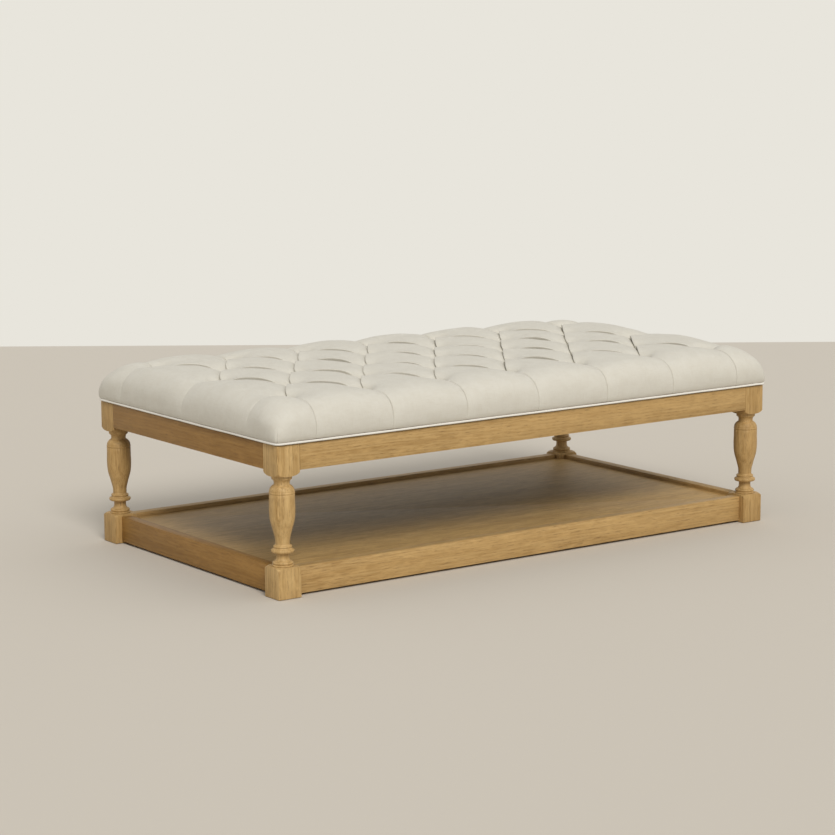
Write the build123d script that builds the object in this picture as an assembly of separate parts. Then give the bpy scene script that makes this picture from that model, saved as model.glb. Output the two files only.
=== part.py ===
from build123d import *
import math
import os

# An ottoman coffee table: turned oak legs, a low shelf let into its rails, and a
# diamond tufted cushion edged with piping. Millimetres, +Z up. The origin is on the
# floor under the middle of the table, +X runs along its length, -Y is the front.

# Wooden frame
frame_length = 1450.0
frame_width = 800.0
frame_top = 348.0
leg_stock = 60.0
leg_edge_chamfer = 1.5
foot_block_height = 70.5
foot_block_end = 7.0
head_block_height = 71.0
head_block_end = 10.0
block_end_radius = 24.0
apron_height = 58.0
apron_thickness = 22.0
rail_drop = 5.0
rail_thickness = 25.0
rail_floor_gap = 5.5

# Foot glides
glide_diameter = 44.0
glide_height = 1.5

# Shelf and what carries it
shelf_thickness = 18.0
shelf_recess = 10.0
cleat_width = 20.0
cleat_height = 20.0
bearer_width = 45.0
bearer_height = 28.0
bearer_spacing = 482.0

# What carries the deck
cross_rail_width = 30.0
cross_rail_height = 30.0
corner_block_reach = 60.0
cross_rail_share = 1.25
dust_cover_thickness = 1.0
dust_cover_gap = 0.3

# Dowels and screws
dowel_diameter = 8.0
dowel_rise = 15.0
cross_dowel_depth = 12.0
cross_dowel_spacing = 14.0
screw_diameter = 4.0
screw_head_diameter = 8.0
screw_head_height = 3.5
screw_inset = 40.0
screw_bite_share = 0.6

# Staples of the dust cover
staple_length = 12.0
staple_wire = 0.7
staple_pitch = 110.0
staple_inset = 11.0

# Cushion
deck_thickness = 15.0
deck_inset = 10.0
deck_corner_radius = 18.0
foam_clearance = 0.4
button_padding = 9.5
cushion_height = 103.5
side_bulge = 12.0
cushion_corner_radius = 22.0
tuft_columns = 7
tuft_rows = 5
tuft_end_margin = 98.0
tuft_side_margin = 114.0
tuft_depth = 46.0
pleat_rise = 40.0
button_diameter = 22.0
button_height = 7.0
button_margin = 2.0
seam_width = 3.0
twine_diameter = 2.4
twine_clearance = 0.4
knot_diameter = 10.0
knot_height = 1.5
piping_diameter = 5.5
piping_overhang = 6.5
piping_gap = 2.0
cover_gap = 0.3

# The turned part of a leg, from the foot block up. Each entry is one stretch of its
# outline and ends at its last point. A point is a share of half the stock and a share
# of the height between the two square blocks.
turning_shares = [
    ("arc", (0.825, 0.009), (0.780, 0.017)),
    ("line", (0.720, 0.021)),
    ("arc", (0.785, 0.037), (0.690, 0.053)),
    ("arc", (0.540, 0.071), (0.490, 0.100)),
    ("line", (0.483, 0.139)),
    ("line", (0.810, 0.152)),
    ("arc", (0.873, 0.171), (0.833, 0.187)),
    ("arc", (0.720, 0.195), (0.663, 0.207)),
    ("arc", (0.712, 0.217), (0.650, 0.228)),
    ("arc", (0.570, 0.236), (0.550, 0.252)),
    ("curve", (0.580, 0.315), (0.655, 0.358), (0.727, 0.400), (0.817, 0.444),
     (0.900, 0.488), (0.957, 0.541), (0.985, 0.649), (0.968, 0.793)),
    ("line", (0.940, 0.798)),
    ("line", (0.965, 0.803)),
    ("arc", (0.978, 0.812), (0.960, 0.822)),
    ("line", (0.935, 0.827)),
    ("line", (0.953, 0.832)),
    ("arc", (0.850, 0.869), (0.620, 0.897)),
    ("line", (0.597, 0.906)),
    ("line", (0.597, 0.918)),
    ("arc", (0.640, 0.946), (0.765, 0.962)),
    ("line", (0.785, 0.990)),
]

# The rounded end of a square block bulges this much outside its chord
block_end_bulge_share = 0.16

# Side of the cushion: share of the bulge or of the margin, share of the height, and
# share of the tuft depth that the surface drops at a border pleat
side_shares = {
    "bottom": (0.40, 0.0, 0.0),
    "belly": (1.00, 0.32, 0.0),
    "waist": (0.80, 0.52, 0.02),
    "shoulder": (-0.12, 0.81, 0.07),
    "brow": (-0.34, 0.955, 0.14),
    "crest": (-0.60, 1.0, 0.30),
}

# Stations from the outer row of tufts to the long edge: share of the way out, top of
# the pillow and bottom of the pleat as shares of the cushion's height, underside as a
# share of it, and how full the corner pillow is
border_shares = [
    (0.200, 1.000, 0.840, 0.0, 0.30),
    (0.430, 0.975, 0.890, 0.0, 0.45),
    (0.715, 0.890, 0.845, 0.0, 0.50),
    (0.875, 0.760, 0.735, 0.0, 0.60),
    (0.958, 0.600, 0.580, 0.03, 0.80),
    (1.000, 0.440, 0.420, 0.22, 1.00),
]

# How a pillow's ridge falls towards a button
ridge_power = 4.0
pillow_bulge_share = 0.18
cut_overrun = 1.0

# Sizes that follow from the ones above
half_length = frame_length / 2
half_width = frame_width / 2
foot_block_top = glide_height + foot_block_height
head_block_bottom = frame_top - head_block_height
rail_height = foot_block_top - rail_drop - rail_floor_gap
dowel_depth = leg_stock / 2 - dowel_diameter
rail_setback = (leg_stock - rail_thickness) / 2
rail_inner_x = half_length - rail_setback - rail_thickness
rail_inner_y = half_width - rail_setback - rail_thickness
apron_inner_x = half_length - apron_thickness
apron_inner_y = half_width - apron_thickness
block_inner_x = half_length - leg_stock
block_inner_y = half_width - leg_stock
rail_top = rail_floor_gap + rail_height
shelf_top = rail_top - shelf_recess
shelf_bottom = shelf_top - shelf_thickness
apron_bottom = frame_top - apron_height
cross_rail_bottom = frame_top - cross_rail_height
deck_top = frame_top + deck_thickness
piping_offset = piping_overhang - piping_diameter / 2
piping_centre = frame_top + piping_gap + piping_diameter / 2
cover_bottom = piping_centre + piping_diameter / 2 + cover_gap
cushion_top = frame_top + cushion_height
seat_level = cushion_top - tuft_depth
foam_top = seat_level - button_padding
button_seat = button_diameter + 2 * button_margin
cover_height = cushion_top - cover_bottom
tuft_pitch = (frame_length - 2 * tuft_end_margin) / (tuft_columns - 1)
row_pitch = (frame_width - 2 * tuft_side_margin) / (tuft_rows - 1)
first_column = -half_length + tuft_end_margin
first_row = -half_width + tuft_side_margin
cross_rail_place = cross_rail_share * tuft_pitch
bearer_place = bearer_spacing / 2

side_names = {(-1, -1): "front_left", (1, -1): "front_right",
              (-1, 1): "back_left", (1, 1): "back_right"}


def span_box(x_span, y_span, z_span):
    """A box between two limits on each axis."""
    spans = (x_span, y_span, z_span)
    sizes = [high - low for low, high in spans]
    middles = [(high + low) / 2 for low, high in spans]
    return Pos(*middles) * Box(*sizes)


def rod(centre, axis, diameter, length):
    """A round rod about its centre."""
    return Plane(origin=centre, z_dir=axis) * Cylinder(diameter / 2, length)


def screw(head, axis, through, into):
    """A countersunk screw along axis, through one piece and partly into the next."""
    low = (Align.CENTER, Align.CENTER, Align.MIN)
    shank = Cylinder(screw_diameter / 2, through + screw_bite_share * into, align=low)
    cone = Cone(screw_head_diameter / 2, screw_diameter / 2, screw_head_height, align=low)
    return Plane(origin=head, z_dir=axis) * (shank + cone)


def turned(edges):
    """A solid of revolution about Z, from a closed outline in radius and height."""
    return revolve(make_face(Plane.XZ * (Curve() + edges)), Axis.Z)


def group(pieces):
    """Several separate solids as one node."""
    return Compound([solid for piece in pieces for solid in piece.solids()])


def cut(body, tools):
    """The body without the tools that reach it."""
    reach = body.bounding_box()
    near = [tool for tool in tools if reach.overlaps(tool.bounding_box())]
    return body - near if near else body


# Legs


def bulged_arc(start, end, bulge_share):
    """An arc that stands outside its chord by a share of the chord's length."""
    chord = Vector(*end) - Vector(*start)
    outward = Vector(chord.Y, -chord.X)
    middle = (Vector(*start) + Vector(*end)) / 2 + outward * bulge_share
    return ThreePointArc(start, (middle.X, middle.Y), end)


def turned_outline():
    """The leg's outline from floor to top, as edges in radius and height."""
    def place(share):
        turned_height = head_block_bottom - foot_block_top
        return share[0] * leg_stock / 2, foot_block_top + share[1] * turned_height

    corner_radius = leg_stock / math.sqrt(2)
    foot_corner = (corner_radius, foot_block_top - foot_block_end)
    foot_end = (block_end_radius, foot_block_top)
    head_end = (block_end_radius, head_block_bottom)
    head_corner = (corner_radius, head_block_bottom + head_block_end)
    edges = [
        Polyline((0, glide_height), (corner_radius, glide_height), foot_corner),
        bulged_arc(foot_corner, foot_end, block_end_bulge_share),
    ]
    point = foot_end
    for kind, *shares in turning_shares:
        points = [place(share) for share in shares]
        if kind == "arc":
            edges.append(ThreePointArc(point, *points))
        elif kind == "curve":
            edges.append(Spline(point, *points, tangents=((0, 1), (0, 1))))
        else:
            edges.append(Line(point, points[0]))
        point = points[-1]
    edges.append(Line(point, head_end))
    edges.append(bulged_arc(head_end, head_corner, block_end_bulge_share))
    edges.append(Polyline(head_corner, (corner_radius, frame_top), (0, frame_top),
                          (0, glide_height)))
    return edges


def plain_leg():
    """One leg on the origin: square stock, turned between its two blocks."""
    envelope = turned(turned_outline())
    stock = span_box((-leg_stock / 2, leg_stock / 2), (-leg_stock / 2, leg_stock / 2),
                     (glide_height, frame_top))
    stock = chamfer(stock.edges().filter_by(Axis.Z), leg_edge_chamfer)
    return stock & envelope


def leg_axis(side):
    """Where the middle of a leg stands."""
    return side[0] * (half_length - leg_stock / 2), side[1] * (half_width - leg_stock / 2)


# Dowels


def apron_dowels():
    """Two dowels in each joint of an apron and a leg."""
    middle = frame_top - apron_height / 2
    line = half_width - apron_thickness / 2, half_length - apron_thickness / 2
    return corner_dowels(line, middle)


def rail_dowels():
    """Two dowels in each joint of a lower rail and a leg."""
    middle = rail_floor_gap + rail_height / 2
    line = half_width - leg_stock / 2, half_length - leg_stock / 2
    return corner_dowels(line, middle)


def corner_dowels(line, middle):
    """Dowels at the inner faces of the leg blocks, along X and along Y."""
    dowels = []
    for x_side, y_side in side_names:
        for height in (middle - dowel_rise, middle + dowel_rise):
            along_x = (x_side * block_inner_x, y_side * line[0], height)
            along_y = (x_side * line[1], y_side * block_inner_y, height)
            dowels.append(rod(along_x, (1, 0, 0), dowel_diameter, 2 * dowel_depth))
            dowels.append(rod(along_y, (0, 1, 0), dowel_diameter, 2 * dowel_depth))
    return dowels


def cross_dowels():
    """Two dowels at each end of the cross rails and of the shelf bearers."""
    rows = [
        (cross_rail_place, apron_inner_y, frame_top - cross_rail_height / 2),
        (bearer_place, rail_inner_y, shelf_bottom - bearer_height / 2),
    ]
    dowels = []
    for place, face, height in rows:
        for x_side, y_side in side_names:
            for offset in (-cross_dowel_spacing / 2, cross_dowel_spacing / 2):
                centre = (x_side * place + offset, y_side * face, height)
                dowels.append(rod(centre, (0, 1, 0), dowel_diameter, 2 * cross_dowel_depth))
    return dowels


# Shelf


def shelf_panel():
    """The panel between the rails, notched round the leg blocks."""
    panel = span_box((-rail_inner_x, rail_inner_x), (-rail_inner_y, rail_inner_y),
                     (shelf_bottom, shelf_top))
    return panel - leg_notches(shelf_bottom, shelf_top)


def leg_notches(bottom, top, gap=0.0):
    """Square cuts where the inner corners of the leg blocks stand."""
    notches = []
    for x_side, y_side in side_names:
        x_span = sorted((x_side * (block_inner_x - gap), x_side * half_length))
        y_span = sorted((y_side * (block_inner_y - gap), y_side * half_width))
        notches.append(span_box(x_span, y_span, (bottom - cut_overrun, top + cut_overrun)))
    return notches


def cleats():
    """The cleats on the rails, by name: three along each long rail, one on each end."""
    height = (shelf_bottom - cleat_height, shelf_bottom)
    near = bearer_place - bearer_width / 2
    far = bearer_place + bearer_width / 2
    runs = {"left": (-block_inner_x, -far), "middle": (-near, near), "right": (far, block_inner_x)}
    pieces = {}
    for side, side_name in ((-1, "front"), (1, "back")):
        depth = sorted((side * rail_inner_y, side * (rail_inner_y - cleat_width)))
        for run_name, run in runs.items():
            pieces[f"shelf_cleat_{side_name}_{run_name}"] = span_box(run, depth, height)
    for side, side_name in ((-1, "left"), (1, "right")):
        depth = sorted((side * rail_inner_x, side * (rail_inner_x - cleat_width)))
        reach = block_inner_y - cleat_width
        pieces[f"shelf_cleat_{side_name}"] = span_box(depth, (-reach, reach), height)
    return pieces


def cleat_screw_places():
    """Two places along each cleat, each with the way out to its rail and in to its middle."""
    places = []
    for cleat in cleats().values():
        middle = cleat.bounding_box().center()
        half = cleat.bounding_box().size / 2
        for end in (-1, 1):
            if half.X > half.Y:
                place = (middle.X + end * (half.X - screw_inset), middle.Y)
                places.append((place, (0, math.copysign(1, middle.Y), 0), (-end, 0)))
            else:
                place = (middle.X, middle.Y + end * (half.Y - screw_inset))
                places.append((place, (math.copysign(1, middle.X), 0, 0), (0, -end)))
    return places


def shelf_screws():
    """Screws up through the cleats into the panel."""
    low = shelf_bottom - cleat_height
    return [screw((*place, low), (0, 0, 1), cleat_height, shelf_thickness)
            for place, outward, inward in cleat_screw_places()]


def cleat_screws():
    """Screws through the cleats into the rails, beside the upright ones."""
    height = shelf_bottom - cleat_height / 2
    screws = []
    for (x, y), outward, inward in cleat_screw_places():
        head = (x + inward[0] * screw_inset / 2 - outward[0] * cleat_width / 2,
                y + inward[1] * screw_inset / 2 - outward[1] * cleat_width / 2, height)
        screws.append(screw(head, outward, cleat_width, rail_thickness))
    return screws


# Under the deck


def corner_block(side):
    """A block that fits round the inner corner of a leg, between two aprons."""
    inner_x, inner_y = apron_inner_x, apron_inner_y
    outline = [
        (block_inner_x, inner_y),
        (block_inner_x - corner_block_reach, inner_y),
        (inner_x, block_inner_y - corner_block_reach),
        (inner_x, block_inner_y),
        (block_inner_x, block_inner_y),
    ]
    points = [(side[0] * x, side[1] * y) for x, y in outline]
    face = make_face(Polyline(*points, close=True))
    return Pos(0, 0, cross_rail_bottom) * extrude(face, amount=cross_rail_height, dir=(0, 0, 1))


def corner_screws():
    """One screw from each corner block into each of its two aprons."""
    height = frame_top - cross_rail_height / 2
    middle = corner_block_reach / 2
    screws = []
    for x_side, y_side in side_names:
        x_head = (x_side * (block_inner_x - middle), y_side * (apron_inner_y - middle), height)
        y_head = (x_side * (apron_inner_x - middle), y_side * (block_inner_y - middle), height)
        screws.append(screw(x_head, (0, y_side, 0), middle, apron_thickness))
        screws.append(screw(y_head, (x_side, 0, 0), middle, apron_thickness))
    return screws


def corner_middle():
    """How far the thick of a corner block lies inside the leg's inner corner."""
    return (corner_block_reach - leg_stock + apron_thickness) / 4


def deck_screws():
    """Screws up into the deck through the corner blocks and the cross rails."""
    inset = corner_middle()
    places = [(x_side * (block_inner_x - inset), y_side * (block_inner_y - inset))
              for x_side, y_side in side_names]
    places += [(side * cross_rail_place, row * (first_row + row_pitch / 2))
               for side in (-1, 1) for row in (-1, 0, 1)]
    return [screw((x, y, cross_rail_bottom), (0, 0, 1), cross_rail_height, deck_thickness)
            for x, y in places]


def dust_cover():
    """The cloth stapled under the cross rails and corner blocks."""
    x = apron_inner_x - dust_cover_gap
    y = apron_inner_y - dust_cover_gap
    height = (cross_rail_bottom - dust_cover_thickness, cross_rail_bottom)
    return span_box((-x, x), (-y, y), height) - leg_notches(*height, dust_cover_gap)


def staples():
    """Staples that hold the dust cover to the cross rails and the corner blocks."""
    top = cross_rail_bottom - dust_cover_thickness
    height = (top - staple_wire, top)
    count = int((2 * (apron_inner_y - staple_inset)) // staple_pitch)
    places = [(side * cross_rail_place, (index - count / 2) * staple_pitch)
              for side in (-1, 1) for index in range(count + 1)]
    places += [(x_side * (apron_inner_x - staple_inset), y_side * (block_inner_y - staple_inset))
               for x_side, y_side in side_names]
    return [span_box((x - staple_length / 2, x + staple_length / 2),
                     (y - staple_wire / 2, y + staple_wire / 2), height) for x, y in places]


# Cushion


def tufts():
    """Where the buttons stand: whole rows, and rows between them with one fewer."""
    places = []
    for row in range(tuft_rows):
        shift = row % 2
        for column in range(tuft_columns - shift):
            places.append((first_column + (column + shift / 2) * tuft_pitch,
                           first_row + row * row_pitch))
    return places


def seat_board(bottom, top, inset, radius):
    """A board with rounded corners, inside the frame by inset."""
    outline = RectangleRounded(frame_length - 2 * inset, frame_width - 2 * inset, radius)
    return Pos(0, 0, bottom) * extrude(outline, amount=top - bottom)


def twine_holes(bottom, top):
    """Holes for the tuft twines."""
    middle = (bottom + top) / 2
    length = top - bottom + 2 * cut_overrun
    return [rod((x, y, middle), (0, 0, 1), twine_diameter + 2 * twine_clearance, length)
            for x, y in tufts()]


def button():
    """A covered button with a low dome, standing on the origin."""
    radius = button_diameter / 2
    rim = button_height / 3
    dome = button_height - rim
    curve = (radius ** 2 + dome ** 2) / (2 * dome)
    half_turn = math.asin(radius / curve) / 2
    shoulder = (curve * math.sin(half_turn), button_height - curve * (1 - math.cos(half_turn)))
    return turned([
        Polyline((0, button_height), (0, 0), (radius, 0), (radius, rim)),
        ThreePointArc((radius, rim), shoulder, (0, button_height)),
    ])


def twine():
    """A twine from its button to the knot under the deck, on the origin."""
    low = (Align.CENTER, Align.CENTER, Align.MIN)
    cord = Cylinder(twine_diameter / 2, seat_level - frame_top, align=low)
    knot = Cylinder(knot_diameter / 2, knot_height, align=(Align.CENTER, Align.CENTER, Align.MAX))
    return Pos(0, 0, frame_top) * (cord + knot)


def piping():
    """The welt round the foot of the cushion."""
    radius = cushion_corner_radius - side_bulge + piping_offset
    path = RectangleRounded(frame_length + 2 * piping_offset, frame_width + 2 * piping_offset,
                            radius).wire()
    path = Pos(0, 0, piping_centre) * path
    start = path @ 0
    return sweep(Plane(origin=start, z_dir=path % 0) * Circle(piping_diameter / 2), path=path)


def section_edge(start, middle, end):
    """An arc through three points, or a line where they are in line."""
    chord = end - start
    if chord.cross(middle - start).length < chord.length * 1e-6:
        return Edge.make_line(start, end)
    return Edge.make_three_point_arc(start, middle, end)


def cushion_section(y, cells, side):
    """The outline of the cushion across one plane of y.

    cells are the stretches between pleats, each as its right end, its middle and its
    left end; side holds the points of the left side from its crest down."""
    edges = []
    for right, middle, left in cells:
        edges.append(section_edge(Vector(right[0], y, right[1]), Vector(middle[0], y, middle[1]),
                                  Vector(left[0], y, left[1])))
    left_points = [Vector(x, y, z) for x, z in side]
    right_points = [Vector(-x, y, z) for x, z in reversed(side)]
    inner_left = edges[-1] @ 1
    inner_right = edges[0] @ 0
    crest, brow, shoulder, waist, belly, bottom = left_points
    edges.append(section_edge(inner_left, crest, brow))
    edges.append(section_edge(brow, shoulder, waist))
    edges.append(section_edge(waist, belly, bottom))
    bottom, belly, waist, shoulder, brow, crest = right_points
    edges.append(Edge.make_line(left_points[-1], bottom))
    edges.append(section_edge(bottom, belly, waist))
    edges.append(section_edge(waist, shoulder, brow))
    edges.append(section_edge(brow, crest, inner_right))
    return Wire(edges)


def side_points(bottom, top, fullness, inset):
    """The left side of the cushion from its crest down to its foot."""
    points = []
    for out_share, height_share, drop_share in reversed(side_shares.values()):
        reach = side_bulge if out_share > 0 else tuft_end_margin
        x = -(half_length + out_share * reach - inset)
        drop = (1 - fullness) * tuft_depth * drop_share
        points.append((x, bottom + height_share * (top - bottom) - drop))
    return points


def field_section(y, swap):
    """A section between the outer rows of tufts.

    swap is 0 on a row with a button at each end and 1 on a row between two of those."""
    seat = button_seat / 2
    half_even = seat + (tuft_pitch / 2 - button_seat) * swap
    pleat = seat_level + pleat_rise * math.sin(math.pi * swap)
    even_ridge = cushion_top - tuft_depth * (1 - swap) ** ridge_power
    odd_ridge = cushion_top - tuft_depth * swap ** ridge_power
    cells = []
    for column in range(tuft_columns):
        centre = first_column + column * tuft_pitch
        cells.append(((centre + half_even, pleat), (centre, even_ridge),
                      (centre - half_even, pleat)))
        if column < tuft_columns - 1:
            cells.append(((centre + tuft_pitch - half_even, pleat),
                          (centre + tuft_pitch / 2, odd_ridge), (centre + half_even, pleat)))
    cells.reverse()
    end = (first_column - seat, even_ridge)
    inner = (first_column + half_even, pleat)
    bulge = pillow_bulge_share * (half_even - seat) / 2
    middle = ((end[0] + inner[0]) / 2, (end[1] + inner[1]) / 2 + bulge)
    cells[-1] = (inner, middle, end)
    cells[0] = tuple((-x, z) for x, z in reversed(cells[-1]))
    fullness = 1 - (1 - swap) ** ridge_power
    return cushion_section(y, cells, side_points(cover_bottom, cushion_top, fullness, 0.0))


def border_section(side, station):
    """A section between the outer row of tufts and a long edge."""
    way, top_share, pleat_share, bottom_share, fullness = station
    start = -first_row + button_seat / 2
    end = half_width + side_bulge
    y = side * (start + way * (end - start))
    bottom = cover_bottom + bottom_share * cover_height
    top = cover_bottom + top_share * cover_height
    pleat = cover_bottom + pleat_share * cover_height
    half_seam = max(seam_width, button_seat * (1 - 2 * way)) / 2
    cells = []
    for column in range(tuft_columns):
        centre = first_column + column * tuft_pitch
        cells.append(((centre + half_seam, pleat), (centre, pleat), (centre - half_seam, pleat)))
        if column < tuft_columns - 1:
            cells.append(((centre + tuft_pitch - half_seam, pleat),
                          (centre + tuft_pitch / 2, top), (centre + half_seam, pleat)))
    cells.reverse()
    radius = cushion_corner_radius
    from_edge = min(end - abs(y), radius)
    inset = radius - math.sqrt(radius ** 2 - (radius - from_edge) ** 2)
    return cushion_section(y, cells, side_points(bottom, top, fullness, inset))


def cushion_sections():
    """All sections of the cushion, from the front edge to the back edge."""
    seat = button_seat / 2
    front = [border_section(-1, station) for station in reversed(border_shares)]
    field = []
    for row in range(tuft_rows):
        y = first_row + row * row_pitch
        odd = row % 2
        field += [field_section(y - seat, odd), field_section(y + seat, odd)]
        if row < tuft_rows - 1:
            for way in (0.25, 0.5, 0.75):
                swap = 1 - way if odd else way
                field.append(field_section(y + seat + way * (row_pitch - button_seat), swap))
    back = [border_section(1, station) for station in border_shares]
    return front + field + back


def tufted_cover():
    """The padded cover: crowned pillows between pleats, hollow for the foam."""
    padding = Solid.make_loft(cushion_sections(), ruled=True)
    hollow = seat_board(cover_bottom - cut_overrun, foam_top + foam_clearance,
                        deck_inset - foam_clearance, deck_corner_radius + foam_clearance)
    return Part(padding.wrapped) - hollow - twine_holes(foam_top, seat_level)


def write(name, shape):
    """Write one node."""
    shape.label = name
    export_step(shape, f"parts/{name}.step")


def main():
    os.makedirs("parts", exist_ok=True)
    apron_pins, rail_pins, cross_pins = apron_dowels(), rail_dowels(), cross_dowels()
    block_screws, board_screws = corner_screws(), deck_screws()
    panel_screws, batten_screws = shelf_screws(), cleat_screws()
    joinery = apron_pins + rail_pins + cross_pins + block_screws + board_screws \
        + panel_screws + batten_screws

    plain = plain_leg()
    for side, side_name in side_names.items():
        x, y = leg_axis(side)
        write(f"leg_{side_name}", cut(Pos(x, y, 0) * plain, joinery))
        glide = rod((x, y, glide_height / 2), (0, 0, 1), glide_diameter, glide_height)
        write(f"foot_glide_{side_name}", glide)
        write(f"corner_block_{side_name}", cut(corner_block(side), joinery))

    apron_heights = (apron_bottom, frame_top)
    rail_heights = (rail_floor_gap, rail_top)
    for side, name in ((-1, "front"), (1, "back")):
        run = (-block_inner_x, block_inner_x)
        depth = sorted((side * half_width, side * apron_inner_y))
        write(f"apron_{name}", cut(span_box(run, depth, apron_heights), joinery))
        depth = sorted((side * rail_inner_y, side * (half_width - rail_setback)))
        write(f"lower_rail_{name}", cut(span_box(run, depth, rail_heights), joinery))
    for side, name in ((-1, "left"), (1, "right")):
        run = (-block_inner_y, block_inner_y)
        depth = sorted((side * half_length, side * apron_inner_x))
        write(f"apron_{name}", cut(span_box(depth, run, apron_heights), joinery))
        depth = sorted((side * rail_inner_x, side * (half_length - rail_setback)))
        write(f"lower_rail_{name}", cut(span_box(depth, run, rail_heights), joinery))
        place = side * cross_rail_place
        cross_rail = span_box((place - cross_rail_width / 2, place + cross_rail_width / 2),
                              (-apron_inner_y, apron_inner_y), (cross_rail_bottom, frame_top))
        write(f"seat_cross_rail_{name}", cut(cross_rail, joinery))
        place = side * bearer_place
        bearer = span_box((place - bearer_width / 2, place + bearer_width / 2),
                          (-rail_inner_y, rail_inner_y),
                          (shelf_bottom - bearer_height, shelf_bottom))
        write(f"shelf_bearer_{name}", cut(bearer, joinery))

    write("shelf_panel", cut(shelf_panel(), joinery))
    for name, cleat in cleats().items():
        write(name, cut(cleat, joinery))
    write("apron_dowels", group(apron_pins))
    write("lower_rail_dowels", group(rail_pins))
    write("cross_member_dowels", group(cross_pins))
    write("corner_block_screws", group(block_screws))
    write("deck_screws", group(board_screws))
    write("shelf_screws", group(panel_screws))
    write("cleat_screws", group(batten_screws))
    write("dust_cover", dust_cover())
    write("dust_cover_staples", group(staples()))

    deck = seat_board(frame_top, deck_top, deck_inset, deck_corner_radius)
    write("seat_deck", cut(deck - twine_holes(frame_top, deck_top), joinery))
    foam = seat_board(deck_top, foam_top, deck_inset, deck_corner_radius)
    write("foam_core", foam - twine_holes(deck_top, foam_top))
    write("tufted_cover", tufted_cover())
    write("piping", piping())
    write("tuft_buttons", group([Pos(x, y, seat_level) * button() for x, y in tufts()]))
    write("tuft_twines", group([Pos(x, y, 0) * twine() for x, y in tufts()]))


main()
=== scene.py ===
"""Tufted ottoman coffee table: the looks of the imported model, laid out as an add-on.

Every piece is made in metres in the model's own frame, so it goes where the model says.
"""

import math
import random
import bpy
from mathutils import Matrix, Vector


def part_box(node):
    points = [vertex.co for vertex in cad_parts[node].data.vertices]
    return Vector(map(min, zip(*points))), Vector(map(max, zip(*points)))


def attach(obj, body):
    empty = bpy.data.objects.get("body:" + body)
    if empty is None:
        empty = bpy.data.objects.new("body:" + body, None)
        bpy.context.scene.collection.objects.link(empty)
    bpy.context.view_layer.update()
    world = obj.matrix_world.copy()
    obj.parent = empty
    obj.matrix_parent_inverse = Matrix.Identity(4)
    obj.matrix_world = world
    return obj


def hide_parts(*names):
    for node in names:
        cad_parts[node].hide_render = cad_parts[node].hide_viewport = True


bl_info = {
    "name": "Tufted Ottoman Coffee Table",
    "version": (1, 0, 0),
    "blender": (4, 5, 0),
    "location": "View3D > Sidebar > Ottoman",
    "description": "Dresses the ottoman's frame in oak and builds its tufted linen cushion",
    "category": "Object",
}

import bmesh
import bpy
import numpy as np
from bpy.props import FloatProperty, FloatVectorProperty, IntProperty, PointerProperty
from mathutils import Matrix, Vector

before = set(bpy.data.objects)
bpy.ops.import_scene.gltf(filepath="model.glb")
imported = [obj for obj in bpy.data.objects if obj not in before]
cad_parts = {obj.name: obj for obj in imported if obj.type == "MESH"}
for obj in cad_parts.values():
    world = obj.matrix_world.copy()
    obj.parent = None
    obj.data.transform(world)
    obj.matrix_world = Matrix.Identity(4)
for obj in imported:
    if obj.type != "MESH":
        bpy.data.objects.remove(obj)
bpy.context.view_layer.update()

MM = 0.001

buttons_low, buttons_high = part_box("tuft_buttons")
cover_low, cover_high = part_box("tufted_cover")
piping_low, piping_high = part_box("piping")
foam_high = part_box("foam_core")[1]
dust_low, dust_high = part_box("dust_cover")

CORNERS = ("front_left", "front_right", "back_left", "back_right")
OAK_ALONG_X = ("apron_front", "apron_back", "lower_rail_front", "lower_rail_back", "shelf_panel")
OAK_ALONG_Y = ("apron_left", "apron_right", "lower_rail_left", "lower_rail_right")
OAK_LEGS = tuple(f"leg_{corner}" for corner in CORNERS)
GLIDES = tuple(f"foot_glide_{corner}" for corner in CORNERS)
CORNER_BLOCKS = tuple(f"corner_block_{corner}" for corner in CORNERS)
SOFTWOOD_ALONG_X = tuple(f"shelf_cleat_{side}_{place}" for side in ("front", "back")
                         for place in ("left", "middle", "right"))
SOFTWOOD_ALONG_Y = ("seat_cross_rail_left", "seat_cross_rail_right", "shelf_bearer_left",
                    "shelf_bearer_right", "shelf_cleat_left", "shelf_cleat_right")
DOWELS = ("apron_dowels", "lower_rail_dowels", "cross_member_dowels")
FASTENINGS = ("corner_block_screws", "deck_screws", "shelf_screws", "cleat_screws",
              "dust_cover_staples")

# Places of the mesh lines from a pleat to the middle of a pillow, as shares of that way
LINE_SHARES = (0.0, 0.011, 0.023, 0.038, 0.056, 0.080, 0.115, 0.160, 0.220, 0.300, 0.400,
               0.520, 0.660, 0.820, 1.0)

# The folded lip of a pleat: distance from the pleat in the flat cloth and where it lies
# across the fold, both in millimetres, with the share of the fold's depth
LIP_SHARES = ((0.0, 0.6, 1.0), (0.93, -0.6, 0.70), (1.94, -2.6, 0.36), (3.2, -4.9, 0.13),
              (4.7, -5.4, 0.04), (6.8, -3.2, 0.004), (9.7, 1.8, 0.0), (13.5, 7.6, 0.0),
              (18.6, 15.0, 0.0), (25.3, 23.6, 0.0), (33.8, 33.4, 0.0), (43.9, 43.9, 0.0))

# The cloth under the lip, in the same way, where the fold is slack; a tight one is fuller
UNDER_SHARES = ((0.0, 0.6, 1.0), (0.93, -0.6, 0.88), (1.94, -2.0, 0.76), (3.2, -3.7, 0.64),
                (4.7, -5.6, 0.56), (6.8, -8.0, 0.475), (9.7, -11.2, 0.385), (13.5, -15.0, 0.295),
                (18.6, -20.0, 0.205), (25.3, -26.3, 0.125), (33.8, -34.4, 0.064),
                (43.9, -44.2, 0.026), (55.7, -55.7, 0.0))

# How far the folds of the two directions bow and gape, as shares of the full bow and slack
FOLD_SHARES = {"p": (-0.30, 1.0), "q": (0.0, 0.5)}

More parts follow.
